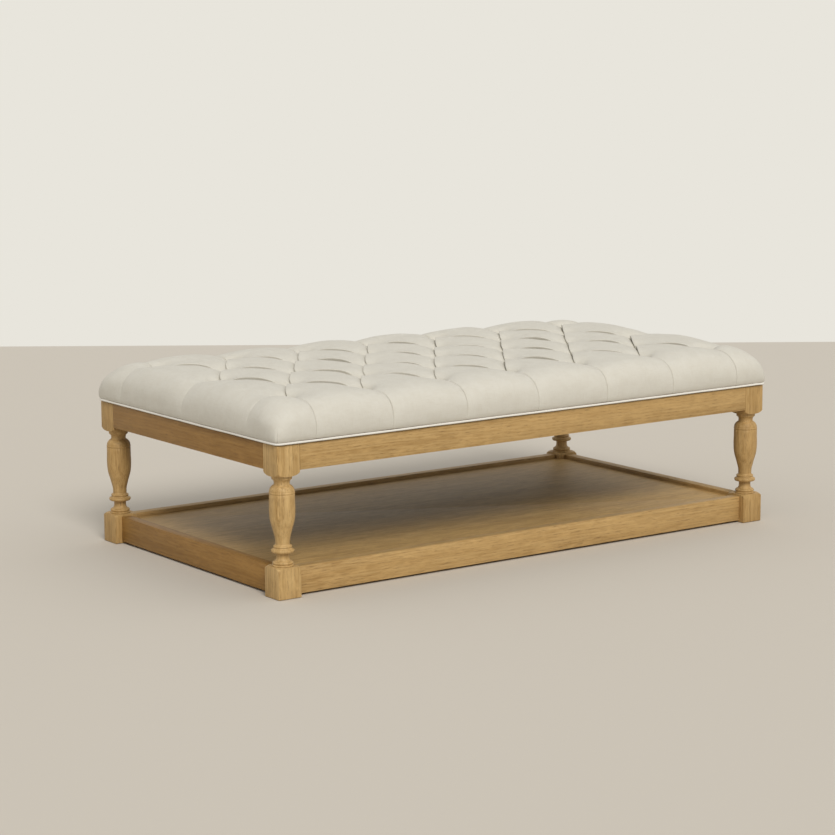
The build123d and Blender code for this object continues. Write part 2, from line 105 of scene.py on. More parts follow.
# A pleat that runs over the edge of the seat: a closed seam with a soft shoulder
SEAM_SHARES = ((0.0, 0.0, 1.0), (1.1, 0.35, 0.70), (2.4, 1.0, 0.43), (4.0, 2.3, 0.31),
               (5.9, 4.4, 0.24), (8.4, 7.4, 0.18), (12.0, 11.5, 0.13), (16.7, 16.5, 0.085),
               (23.0, 23.0, 0.05), (31.3, 31.3, 0.025), (41.8, 41.8, 0.008), (54.3, 54.3, 0.0))

# How the cloth falls into a tuft: radius in millimetres and share of the depth
FUNNEL_SHARES = ((0.0, 1.0), (11.2, 1.0), (12.5, 0.94), (14.5, 0.80), (18.0, 0.59), (23.0, 0.38),
                 (30.0, 0.22), (40.0, 0.115), (54.0, 0.052), (75.0, 0.016), (96.0, 0.0))

# Depth of the seam over the edge against the way from the tuft, both in millimetres
SEAM_DEPTHS = ((0.0, 46.0), (11.0, 46.0), (18.0, 30.0), (27.0, 19.0), (40.0, 12.0), (56.0, 8.2),
               (75.0, 6.4), (95.0, 5.6), (120.0, 5.0), (150.0, 4.2), (175.0, 3.0), (200.0, 1.0))

# Outline of the cushion's long edge from the outer row of tufts: out and height
LONG_EDGE = ((0.0, 451.5), (26.8, 451.5), (61.7, 449.1), (93.8, 441.0), (111.9, 428.5),
             (121.3, 413.2), (125.6, 397.9), (125.8, 378.0), (122.5, 362.0), (118.8, 356.3))

# The same for a short edge, from the outer column
SHORT_EDGE = ((0.0, 451.5), (39.2, 451.3), (64.7, 447.2), (86.2, 434.3), (101.4, 416.0),
              (107.0, 398.0), (107.6, 380.0), (105.6, 363.0), (103.0, 356.3))

# How marked a seam over a short edge is, beside one over a long edge
SHORT_SEAM_SHARE = 0.2

# Mesh lines over an edge, as shares of the way along its outline
EDGE_LINE_SHARES = (0.0, 0.045, 0.09, 0.135, 0.185, 0.24, 0.30, 0.36, 0.42, 0.48, 0.54, 0.60,
                    0.655, 0.71, 0.76, 0.81, 0.86, 0.905, 0.945, 0.975, 0.99, 1.0)

# Mesh lines beside the mitre of a corner, as shares of a quarter turn
MITRE_LINE_SHARES = (0.005, 0.011, 0.022, 0.045)

# How square the cushion's plan is at a corner: share of the way out and the power of its
# rounded outline
CORNER_POWERS = ((0.0, 2.0), (0.25, 2.1), (0.45, 2.5), (0.60, 3.2), (0.72, 4.5), (0.82, 6.5),
                 (0.92, 12.0), (1.0, 20.0))

# Radius of the flat seat of a button, and the distances over which its pull ends
SEAT_RADIUS = 11.3 * MM
PULL_END = (12 * MM, 34 * MM)

# Distance from a tuft at which its gathers begin to die away, and over how much they do
GATHER_START = 12 * MM
GATHER_REACH = 14 * MM

# Distances from a tuft over which a pleat and a seam begin to lie over, and over which a
# seam over a short edge grows faint
PLEAT_START = (13 * MM, 42 * MM)
SEAM_START = (13 * MM, 40 * MM)
SEAM_FAINT = (25 * MM, 60 * MM)

# A slack fold beside its pleat: where its lip stands up and its gape is widest, the widths of
# the two, and the share of the pleat over which it opens
SWELL_AT = 5 * MM
LIP_WIDTH = 11 * MM
GAPE_WIDTH = 7 * MM
OPEN_SHARE = 0.25

# Share of the cloth under the lip that follows the fold: in a tight fold, what a slack one
# adds, and the most
UNDER_TIGHT, UNDER_SLACK, UNDER_MOST = 0.42, 0.80, 0.985

# Slow waves of the padding: how many, and the least and greatest length in metres
WAVE_COUNT = 14
WAVE_LENGTHS = (0.05, 0.21)

# How far from a pleat its bow moves the cloth, and how far over the edge the shape of the
# pillows beside it is carried on
BOW_REACH = 45 * MM
FIELD_REACH = 16 * MM

# Way over the edge on which the cloth sinks beside a seam, and the shares of the full way
# from which that and the padding's waves fade out to the foot
SHOULDER_START = (0.0, 50 * MM)
SHOULDER_FADE = 0.5
WAVE_FADE = 0.8

# The soft fall of a corner: its size, where on the way over it sets in, and the shares of the
# full way between which it ends
CORNER_DROP = 5.5 * MM
CORNER_START = (15 * MM, 110 * MM)
CORNER_END = (0.55, 0.85)

# The seam above the piping at a corner: its width, and how far above the foot it sets in
MITRE_WIDTH = 1.5 * MM
MITRE_START = (28 * MM, 20 * MM)

# Radii of the corners of the foam and of the piping, in plan
FOAM_CORNER = 18 * MM
PIPING_CORNER = 13.75 * MM

# Profile of a covered button, as shares of its radius and of its rise, and the gathers of its
# cloth: their number, depth as a share of the radius and how far up they go
BUTTON_PROFILE = ((0.80, 0.02), (0.96, 0.07), (1.0, 0.22), (0.985, 0.38), (0.90, 0.60),
                  (0.74, 0.79), (0.50, 0.93), (0.24, 0.985), (0.07, 1.0))
BUTTON_GATHERS, BUTTON_GATHER_DEPTH, BUTTON_GATHER_TOP = 14, 0.018, 0.6

# How far a button may lean, as rise over run, and how many sides its mesh and the piping's have
BUTTON_LEAN = 0.05
BUTTON_SIDES = 28
PIPING_SIDES = 14

# Waves of the piping along its way, in its thickness as a share and in its height: size,
# radians in a metre and phase; how closely it fills its place, the distance between its
# rings and the number of them round a corner
PIPING_SWELLS = ((0.035, 61.0, 0.0), (0.03, 23.0, 1.3))
PIPING_SAGS = ((0.15 * MM, 9.0, 0.0), (0.12 * MM, 31.0, 0.6))
PIPING_FIT = 0.97
PIPING_STEP = 12 * MM
CORNER_STEPS = 8

# Boards whose colours are scaled: shares of red, green and blue. On the left apron and the left
# lower rail the darker, browner share is painted shade for faces turned from the lamps. On the
# front left leg and the shelf panel the paler share is painted light. The back apron, right apron
# and right lower rail are made darker and warmer.
BOARD_TONES_AND_PAINTED_LIGHT = {"apron_left": (0.66, 0.56, 0.40), "lower_rail_left": (0.67, 0.56, 0.37),
               "shelf_panel": (1.06, 1.06, 1.02), "leg_front_left": (1.16, 1.20, 1.28),
               "lower_rail_right": (0.92, 0.90, 0.84), "apron_back": (0.95, 0.94, 0.92),
               "apron_right": (0.90, 0.86, 0.78)}
PLAIN_TONE = (1.0, 1.0, 1.0)

# How far the grain's pattern is moved from one board to the next
GRAIN_STEP = (0.37, 0.61, 0.83)

# Name of the mesh layer with the places in the flat cloth
CLOTH_LAYER = "cloth"

# Colour of the room's light
WARM_WHITE = (1.0, 0.985, 0.96)

# Distance between the bands of a Wave texture at a scale of 1, in metres
WAVE_PERIOD = 0.314


class CushionSizes(bpy.types.PropertyGroup):
    """Sizes of the tufted cushion"""

    tuft_columns: IntProperty(
        name="Tuft columns", description="Tufts along the outer rows", default=7)
    tuft_rows: IntProperty(name="Tuft rows", description="Rows of tufts", default=5)
    crown_height: FloatProperty(
        name="Crown height", description="Height of the pillows' tops above the floor",
        default=0.4515, unit="LENGTH")
    pillow_crown: FloatProperty(
        name="Pillow crown", description="Rise of a pillow above its edges",
        default=0.0036, unit="LENGTH")
    seat_crown: FloatProperty(
        name="Seat crown", description="Rise of the middle of the seat above its edges",
        default=0.0008, unit="LENGTH")
    pleat_depth: FloatProperty(
        name="Pleat depth", description="Depth of a fold half way between two tufts",
        default=0.021, unit="LENGTH")
    pleat_bow: FloatProperty(
        name="Pleat bow", description="How far a fold bows sideways half way along",
        default=0.011, unit="LENGTH")
    pleat_gape: FloatProperty(
        name="Pleat gape", description="Most that a slack fold stands open",
        default=0.003, unit="LENGTH")
    mitre_depth: FloatProperty(
        name="Mitre depth", description="Depth of the short seam above the piping at a corner",
        default=0.0022, unit="LENGTH")
    lip_rise: FloatProperty(
        name="Lip rise", description="How far the lip of a slack fold stands up",
        default=0.0026, unit="LENGTH")
    edge_shoulder: FloatProperty(
        name="Edge shoulder", description="How far the cloth sinks beside a seam over the edge",
        default=0.0082, unit="LENGTH")
    pucker_depth: FloatProperty(
        name="Pucker depth", description="Height of the gathers round a tuft",
        default=0.0009, unit="LENGTH")
    puckers: IntProperty(name="Puckers", description="Gathers round a tuft", default=11)
    unevenness: FloatProperty(
        name="Unevenness", description="How far the padding rises and falls",
        default=0.0011, unit="LENGTH")
    hollow_clearance: FloatProperty(
        name="Hollow clearance", description="Room between the cover and the foam in it",
        default=0.0003, unit="LENGTH")
    button_radius: FloatProperty(
        name="Button radius", description="Radius of a covered button",
        default=0.011, unit="LENGTH")
    piping_radius: FloatProperty(
        name="Piping radius", description="Radius of the welt round the foot",
        default=0.00275, unit="LENGTH")
    seed: IntProperty(name="Seed", description="Seed of the small differences", default=7)


class ClothFinish(bpy.types.PropertyGroup):
    """Colours and weave of the cloths"""

    linen_colour: FloatVectorProperty(
        name="Linen", description="Colour of the cover's linen", subtype="COLOR",
        default=(0.672, 0.648, 0.575), min=0.0, max=1.0)
    linen_slub_colour: FloatVectorProperty(
        name="Linen slub", description="Colour of the linen's thicker threads", subtype="COLOR",
        default=(0.57, 0.53, 0.445), min=0.0, max=1.0)
    piping_colour: FloatVectorProperty(
        name="Piping", description="Colour of the piping", subtype="COLOR",
        default=(0.86, 0.83, 0.76), min=0.0, max=1.0)
    thread_pitch: FloatProperty(
        name="Thread pitch", description="Distance between threads of the linen",
        default=0.00085, unit="LENGTH")
    dust_sag: FloatProperty(
        name="Dust cover sag", description="How far the dust cover hangs down in the middle",
        default=0.004, unit="LENGTH")
    dust_end_share: FloatProperty(
        name="Dust cover end sag", description="Sag of its ends as a share of the middle's",
        default=0.45)
    dust_gap: FloatProperty(
        name="Dust cover gap", description="Gap between the dust cover and a leg",
        default=0.0003, unit="LENGTH")
    dust_cloth_colour: FloatVectorProperty(
        name="Dust cloth", description="Colour of the cloth under the seat", subtype="COLOR",
        default=(0.012, 0.012, 0.013), min=0.0, max=1.0)
    # The glides' near-black colour is partly the felt's own and partly painted contact shade under
    # the feet
    felt_and_contact_shade_colour: FloatVectorProperty(
        name="Felt", description="Colour of the glides under the feet", subtype="COLOR",
        default=(0.022, 0.018, 0.014), min=0.0, max=1.0)
    foam_colour: FloatVectorProperty(
        name="Foam", description="Colour of the foam", subtype="COLOR",
        default=(0.78, 0.72, 0.5), min=0.0, max=1.0)
    twine_colour: FloatVectorProperty(
        name="Twine", description="Colour of the tufting twine", subtype="COLOR",
        default=(0.48, 0.38, 0.23), min=0.0, max=1.0)


class TimberFinish(bpy.types.PropertyGroup):
    """Colours and grain of the timbers"""

    oak_colour: FloatVectorProperty(
        name="Oak", description="Colour of the oak between its rings", subtype="COLOR",
        default=(0.470, 0.305, 0.123), min=0.0, max=1.0)
    oak_ring_colour: FloatVectorProperty(
        name="Oak rings", description="Colour of the oak's early wood", subtype="COLOR",
        default=(0.315, 0.178, 0.052), min=0.0, max=1.0)
    oak_pore_colour: FloatVectorProperty(
        name="Oak pores", description="Colour in the oak's open pores", subtype="COLOR",
        default=(0.17, 0.092, 0.032), min=0.0, max=1.0)
    softwood_colour: FloatVectorProperty(
        name="Softwood", description="Colour of the softwood", subtype="COLOR",
        default=(0.54, 0.37, 0.18), min=0.0, max=1.0)
    softwood_ring_colour: FloatVectorProperty(
        name="Softwood rings", description="Colour of the softwood's late wood",
        subtype="COLOR", default=(0.40, 0.225, 0.09), min=0.0, max=1.0)
    beech_colour: FloatVectorProperty(
        name="Beech", description="Colour of the dowels", subtype="COLOR",
        default=(0.57, 0.39, 0.21), min=0.0, max=1.0)
    plywood_colour: FloatVectorProperty(
        name="Plywood", description="Colour of the deck's face", subtype="COLOR",
        default=(0.48, 0.32, 0.16), min=0.0, max=1.0)
    steel_colour: FloatVectorProperty(
        name="Zinc steel", description="Colour of the screws and staples", subtype="COLOR",
        default=(0.55, 0.55, 0.53), min=0.0, max=1.0)
    ring_spacing: FloatProperty(
        name="Ring spacing", description="Width of a year's growth on the oak's face",
        default=0.0042, unit="LENGTH")
    edge_radius: FloatProperty(
        name="Edge radius", description="Softening of the timbers' edges",
        default=0.0013, unit="LENGTH")


class StageSettings(bpy.types.PropertyGroup):
    """Camera, floor and lamps"""

    camera_place: FloatVectorProperty(
        name="Camera place", description="Where the camera stands", subtype="TRANSLATION",
        default=(-3.69737, -5.08625, 1.34007), unit="LENGTH")
    camera_heading: FloatProperty(
        name="Heading", description="Turn of the view from the depth axis", subtype="ANGLE",
        default=math.radians(-35.57351))
    camera_dip: FloatProperty(
        name="Dip", description="Angle of the view below level", subtype="ANGLE",
        default=math.radians(9.51293))
    camera_roll: FloatProperty(
        name="Roll", description="Turn of the camera about its view", subtype="ANGLE",
        default=math.radians(-0.32634))
    lens: FloatProperty(
        name="Lens", description="Focal length on a 36 mm sensor, in millimetres",
        default=110.598)
    floor_colour: FloatVectorProperty(
        name="Floor", description="Colour of the floor", subtype="COLOR",
        default=(0.60, 0.555, 0.485), min=0.0, max=1.0)
    floor_reach: FloatProperty(
        name="Floor reach", description="Distance from the table's middle to the floor's edge",
        default=3.4, unit="LENGTH")
    backdrop_colour: FloatVectorProperty(
        name="Backdrop", description="Colour behind the table", subtype="COLOR",
        default=(0.807, 0.783, 0.716), min=0.0, max=1.0)
    key_strength: FloatProperty(
        name="Key lamp", description="Strength of the wide soft lamp in front", default=1.80)
    top_strength: FloatProperty(
        name="Top lamp", description="Strength of the wide soft lamp overhead", default=0.30)
    world_strength: FloatProperty(
        name="Surrounding light", description="Strength of the light from all round",
        default=0.53)


def settings():
    """All settings of the scene."""
    return bpy.context.scene.ottoman


# Small helpers for meshes and materials


def columns(table):
    """The columns of a table of numbers."""
    return np.array(table, float).T


def read_off(table, at, column=1):
    """Reads a column of a table against its first one."""
    values = columns(table)
    return np.interp(at, values[0], values[column])


def fold_shift(table, distance, side=1):
    """How far a fold moves the cloth across itself, in metres; none far from it."""
    knots, settled = columns(table)[:2]
    return np.interp(distance / MM, knots, settled - side * knots) * MM


def smooth_step(low, high, x):
    """0 below low, 1 above high and an even curve between."""
    t = np.clip((x - low) / (high - low), 0.0, 1.0)
    return t * t * (3 - 2 * t)


def smooth_outline(points, count=400):
    """A smooth line through points, sampled evenly along it: its way, out and height."""
    knots = columns(points).T * MM
    steps = np.linalg.norm(np.diff(knots, axis=0), axis=1)
    at = np.concatenate([[0.0], np.cumsum(np.sqrt(steps))])
    slopes = np.gradient(knots, at, axis=0)
    slopes[0] = (knots[1] - knots[0]) / (at[1] - at[0])
    fine = np.linspace(0.0, at[-1], count * 4)
    leg = np.clip(np.searchsorted(at, fine, side="right") - 1, 0, len(at) - 2)
    width = (at[leg + 1] - at[leg])[:, None]
    t = ((fine - at[leg])[:, None]) / width
    line = ((1 + 2 * t) * (1 - t) ** 2 * knots[leg] + t * (1 - t) ** 2 * width * slopes[leg]
            + t * t * (3 - 2 * t) * knots[leg + 1] + t * t * (t - 1) * width * slopes[leg + 1])
    way = np.concatenate([[0.0], np.cumsum(np.linalg.norm(np.diff(line, axis=0), axis=1))])
    even = np.linspace(0.0, way[-1], count)
    return even, np.interp(even, way, line[:, 0]), np.interp(even, way, line[:, 1])


def edge_profile(edge, way):
    """Out, height and outward normal of an edge's outline at places on the way over it."""
    ways, outs, heights = edge
    slope_out = np.interp(way, ways, np.gradient(outs, ways))
    slope_up = np.interp(way, ways, np.gradient(heights, ways))
    size = np.hypot(slope_out, slope_up)
    return (np.interp(way, ways, outs), np.interp(way, ways, heights), -slope_up / size,
            slope_out / size)


def fade_out(way, full, start):
    """1 up to a share of the full way and from there an even curve to 0 at its end."""
    return 1 - smooth_step(full * start, full, way)


def add_object(name, data):
    """A new object in the scene."""
    made = bpy.data.objects.new(name, data)
    bpy.context.scene.collection.objects.link(made)
    return made


def new_piece(name, vertices, faces, material):
    """A smooth mesh object riding on the table."""
    mesh = bpy.data.meshes.new(name)
    mesh.from_pydata([tuple(v) for v in vertices], [], faces)
    mesh.validate()
    mesh.update()
    mesh.polygons.foreach_set("use_smooth", [True] * len(mesh.polygons))
    piece = add_object(name, mesh)
    mesh.materials.append(material)
    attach(piece, "root")
    return piece


def soften(piece):
    """Subdivides a piece's mesh once, for good."""
    smooth = piece.modifiers.new("Smooth cloth", "SUBSURF")
    smooth.levels = smooth.render_levels = 1
    smooth.use_limit_surface = False
    bpy.context.view_layer.update()
    graph = bpy.context.evaluated_depsgraph_get()
    mesh = bpy.data.meshes.new_from_object(piece.evaluated_get(graph))
    piece.modifiers.clear()
    piece.data = mesh


def new_material(name):
    """An empty node material with its shader: the material, its tree and the shader."""
    material = bpy.data.materials.new(name)
    material.use_nodes = True
    tree = material.node_tree
    tree.nodes.clear()
    output = tree.nodes.new("ShaderNodeOutputMaterial")
    shader = tree.nodes.new("ShaderNodeBsdfPrincipled")
    tree.links.new(shader.outputs[0], output.inputs[0])
    return material, tree, shader


def put(tree, socket, value):
    """Gives a socket a value or a link."""
    if isinstance(value, bpy.types.NodeSocket):
        tree.links.new(value, socket)
    elif hasattr(socket.default_value, "__len__") and len(socket.default_value) == 4 \
            and len(value) == 3:
        socket.default_value = (*value, 1.0)
    else:
        socket.default_value = value


def node(tree, kind, inputs=None, **fields):
    """A shader node with its fields and inputs set."""
    made = tree.nodes.new("ShaderNode" + kind)
    for field, value in fields.items():
        setattr(made, field, value)
    for key, value in (inputs or {}).items():
        put(tree, made.inputs[key], value)
    return made


def math_node(tree, operation, *values):
    """A Math node's result."""
    made = tree.nodes.new("ShaderNodeMath")
    made.operation = operation
    for socket, value in zip(made.inputs, values):
        put(tree, socket, value)
    return made.outputs[0]


def mix_colours(tree, share, first, second):
    """A mix of two colours."""
    made = tree.nodes.new("ShaderNodeMix")
    made.data_type = "RGBA"
    # The sockets of the share and of the two colours
    for number, value in ((0, share), (6, first), (7, second)):
        put(tree, made.inputs[number], value)
    return made.outputs[2]


def noise(tree, vector, scale, detail, roughness, distortion=0.0):
    """A noise texture's value."""
    return node(tree, "TexNoise", {"Vector": vector, "Scale": scale, "Detail": detail,
                                   "Roughness": roughness, "Distortion": distortion}).outputs[0]


def ramp(tree, value, low, high):
    """Spreads the values between low and high over 0 to 1."""
    made = node(tree, "MapRange", {"Value": value, "From Min": low, "From Max": high})
    made.interpolation_type = "SMOOTHSTEP"
    return made.outputs[0]


def tint(tree, base, pattern, low, high, share, colour):
    """Mixes up to a share of a colour in where a pattern rises from low to high."""
    amount = math_node(tree, "MULTIPLY", ramp(tree, pattern, low, high), share)
    return mix_colours(tree, amount, base, colour)


def stretched(tree, scales, offset=(0.0, 0.0, 0.0)):
    """Object coordinates scaled by axis."""
    place = node(tree, "TexCoord").outputs["Object"]
    return node(tree, "Mapping", {"Vector": place, "Scale": scales, "Location": offset}).outputs[0]


def bump(tree, height, distance, strength):
    """A bump of so many metres."""
    return node(tree, "Bump", {"Height": height, "Distance": distance,
                               "Strength": strength}).outputs[0]


# Timber


def along(axis, length, width):
    """Scales for a pattern that runs along an axis."""
    scales = [width] * 3
    scales[axis] = length
    return tuple(scales)


def grain(tree, axis, offset, length, width, detail=2.0, roughness=0.5, distortion=0.0):
    """A noise drawn out along an axis; length and width are its counts in a metre."""
    place = stretched(tree, along(axis, length, width), offset)
    return noise(tree, place, 1.0, detail, roughness, distortion)


def growth_rings(tree, place, drift, wander, spacing, waves):
    """Growth rings across a place that drifts; spacing is in metres, waves their unevenness."""
    shift = math_node(tree, "MULTIPLY", drift, wander)
    drifted = node(tree, "CombineXYZ", {i: shift for i in range(3)}).outputs[0]
    shifted = node(tree, "VectorMath", {0: place, 1: drifted}, operation="ADD").outputs[0]
    inputs = {"Vector": shifted, "Scale": WAVE_PERIOD / spacing, **waves}
    return node(tree, "TexWave", inputs, wave_type="BANDS",
                bands_direction="DIAGONAL").outputs["Fac"]


def oak_material(name, axis, offset, tone):
    """Oak with its grain along an axis: rings, open pores and slow changes of tone."""
    finish = settings().timber
    # The tone scales every colour of the board: for some boards it is painted shade, for others
    # painted light
    oak = tuple(c * share for c, share in zip(finish.oak_colour, tone))
    dark = tuple(c * share for c, share in zip(finish.oak_ring_colour, tone))
    pale = tuple(min(1.0, c * 1.30) for c in oak)
    material, tree, shader = new_material(name)
    rings = growth_rings(tree, stretched(tree, along(axis, 0.012, 1.0), offset),
                         grain(tree, axis, offset, 0.8, 4.0, 2.0, 0.45), 0.030,
                         finish.ring_spacing, {"Distortion": 1.6, "Detail": 3.0,
                                               "Detail Scale": 0.25, "Detail Roughness": 0.6})
    early = ramp(tree, rings, 0.25, 0.95)
    slow = grain(tree, axis, offset, 1.1, 9.0, 2.0, 0.5, 0.3)
    bands = grain(tree, axis, offset, 0.9, 95.0, 5.0, 0.62, 0.25)
    fibres = grain(tree, axis, offset, 9.0, 620.0, 4.0, 0.62)
    streaks = grain(tree, axis, offset, 20.0, 230.0, 4.0, 0.6)
    pores = grain(tree, axis, offset, 42.0, 760.0, 3.0, 0.6)
    patches = grain(tree, axis, offset, 17.0, 60.0, 4.0, 0.65, 0.5)
    pore_share = math_node(tree, "MULTIPLY", ramp(tree, pores, 0.54, 0.68),
                           math_node(tree, "MULTIPLY_ADD", early, 0.55, 0.45))
    colour = mix_colours(tree, math_node(tree, "MULTIPLY", early, 0.26), oak, dark)
    for pattern, low, high, share, other in (
            (bands, 0.40, 0.66, 0.62, dark), (streaks, 0.46, 0.66, 0.66, dark),
            (slow, 0.42, 0.72, 0.34, pale), (patches, 0.42, 0.68, 0.42, pale),
            (fibres, 0.45, 0.7, 0.32, pale)):
        colour = tint(tree, colour, pattern, low, high, share, other)
    colour = mix_colours(tree, math_node(tree, "MULTIPLY", pore_share, 0.75), colour,
                         finish.oak_pore_colour)
    put(tree, shader.inputs["Base Color"], colour)
    put(tree, shader.inputs["Roughness"], math_node(
        tree, "MULTIPLY_ADD", ramp(tree, fibres, 0.3, 0.8), 0.10, 0.50))
    shader.inputs["Specular IOR Level"].default_value = 0.35
    height = math_node(tree, "MULTIPLY_ADD", pore_share, -1.0,
                       math_node(tree, "MULTIPLY", fibres, 0.35))
    put(tree, shader.inputs["Normal"], bump(tree, height, 0.18 * MM, 0.8))
    return material


def plain_timber_material(name, axis, colour, ring_colour, ring_spacing):
    """A plain timber with its grain along an axis."""
    material, tree, shader = new_material(name)
    start = (0.0, 0.0, 0.0)
    rings = growth_rings(tree, stretched(tree, along(axis, 0.15, 1.0), start),
                         grain(tree, axis, start, 1.2, 8.0), 0.05, ring_spacing,
                         {"Distortion": 3.0, "Detail": 2.0, "Detail Scale": 0.4})
    fibres = grain(tree, axis, start, 12.0, 700.0, 3.0, 0.6)
    base = tint(tree, colour, rings, 0.45, 1.0, 0.6, ring_colour)
    base = mix_colours(tree, math_node(tree, "MULTIPLY", fibres, 0.25), base, ring_colour)
    put(tree, shader.inputs["Base Color"], base)
    put(tree, shader.inputs["Roughness"], math_node(tree, "MULTIPLY_ADD", fibres, 0.15, 0.6))
    put(tree, shader.inputs["Normal"], bump(tree, fibres, 0.15 * MM, 0.6))
    return material


def dress(names, material, edge_radius=None):
    """Gives nodes of the model a finish and, where there is a radius, softened edges."""
    for name in names:
        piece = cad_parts[name]
        piece.data.materials.clear()
        piece.data.materials.append(material)
        piece.data.polygons.foreach_set("use_smooth", [True] * len(piece.data.polygons))
        if edge_radius is None:
            continue
        weld = piece.modifiers.new("Joined faces", "WELD")
        weld.merge_threshold = 0.01 * MM
        soft = piece.modifiers.new("Softened edges", "BEVEL")
        soft.width = edge_radius
        soft.segments = 2
        soft.limit_method = "ANGLE"
        soft.angle_limit = math.radians(38)
        soft.miter_outer = "MITER_ARC"
        soft.harden_normals = False


# Cloth


def weave_height(tree, across_pitch, along_pitch, place):
    """Height of a plain weave, from 0 to 1, with uneven threads."""
    parts = node(tree, "SeparateXYZ", {0: place}).outputs
    wobble = noise(tree, place, 260.0, 2.0, 0.6)
    turns = []
    for part, pitch in ((parts[0], across_pitch), (parts[1], along_pitch)):
        phase = math_node(tree, "MULTIPLY_ADD", part, 2 * math.pi / pitch,
                          math_node(tree, "MULTIPLY", wobble, 5.0))
        turns.append(math_node(tree, "SINE", phase))
    product = math_node(tree, "MULTIPLY", turns[0], turns[1])
    return math_node(tree, "MULTIPLY_ADD", product, 0.5, 0.5)


def linen_material(name, colour, slub_colour, pitch):
    """Plain woven linen with slubs both ways, laid out by the flat cloth's places."""
    material, tree, shader = new_material(name)
    place = node(tree, "UVMap", uv_map=CLOTH_LAYER).outputs[0]
    weave = weave_height(tree, pitch, pitch * 1.08, place)
    slubs = []
    for scales in ((640.0, 36.0, 1.0), (36.0, 600.0, 1.0)):
        spot = node(tree, "Mapping", {"Vector": place, "Scale": scales}).outputs[0]
        slubs.append(ramp(tree, noise(tree, spot, 1.0, 3.0, 0.65), 0.50, 0.76))
    slub = math_node(tree, "MAXIMUM", *slubs)
    cloudy = noise(tree, place, 38.0, 5.0, 0.7)
    base = mix_colours(tree, math_node(tree, "MULTIPLY", slub, 0.55), colour, slub_colour)
    base = tint(tree, base, cloudy, 0.38, 0.66, 0.25, slub_colour)
    # Painted shade: the colour darkens towards the slub colour where the weave is low, between the
    # threads
    weave_painted_shade = mix_colours(tree, math_node(tree, "MULTIPLY", math_node(
        tree, "SUBTRACT", 1.0, weave), 0.22), base, slub_colour)
    put(tree, shader.inputs["Base Color"], weave_painted_shade)
    put(tree, shader.inputs["Roughness"], math_node(tree, "MULTIPLY_ADD", weave, -0.08, 0.95))
    shader.inputs["Sheen Weight"].default_value = 0.12
    shader.inputs["Sheen Roughness"].default_value = 0.45
    shader.inputs["Specular IOR Level"].default_value = 0.25
    height = math_node(tree, "MULTIPLY_ADD", slub, 0.5, weave)
    put(tree, shader.inputs["Normal"], bump(tree, height, 0.22 * MM, 0.7))
    return material


def grained_material(name, colour, roughness, grain_count, depth, metallic=0.0):
    """An even surface with a fine grain; grain_count is its count in a metre."""
    material, tree, shader = new_material(name)
    place = stretched(tree, (1.0, 1.0, 1.0))
    fine = noise(tree, place, grain_count, 4.0, 0.65)
    broad = noise(tree, place, grain_count / 14, 2.0, 0.5)
    darker = tuple(c * 0.62 for c in colour)
    lighter = tuple(min(1.0, c * 1.25) for c in colour)
    base = mix_colours(tree, ramp(tree, fine, 0.35, 0.7), darker, colour)
    base = mix_colours(tree, math_node(tree, "MULTIPLY", broad, 0.4), base, lighter)
    put(tree, shader.inputs["Base Color"], base)
    put(tree, shader.inputs["Roughness"], math_node(
        tree, "MULTIPLY_ADD", fine, 0.12, roughness - 0.06))
    shader.inputs["Metallic"].default_value = metallic
    put(tree, shader.inputs["Normal"], bump(tree, fine, depth, 0.7))
    return material


# The cushion


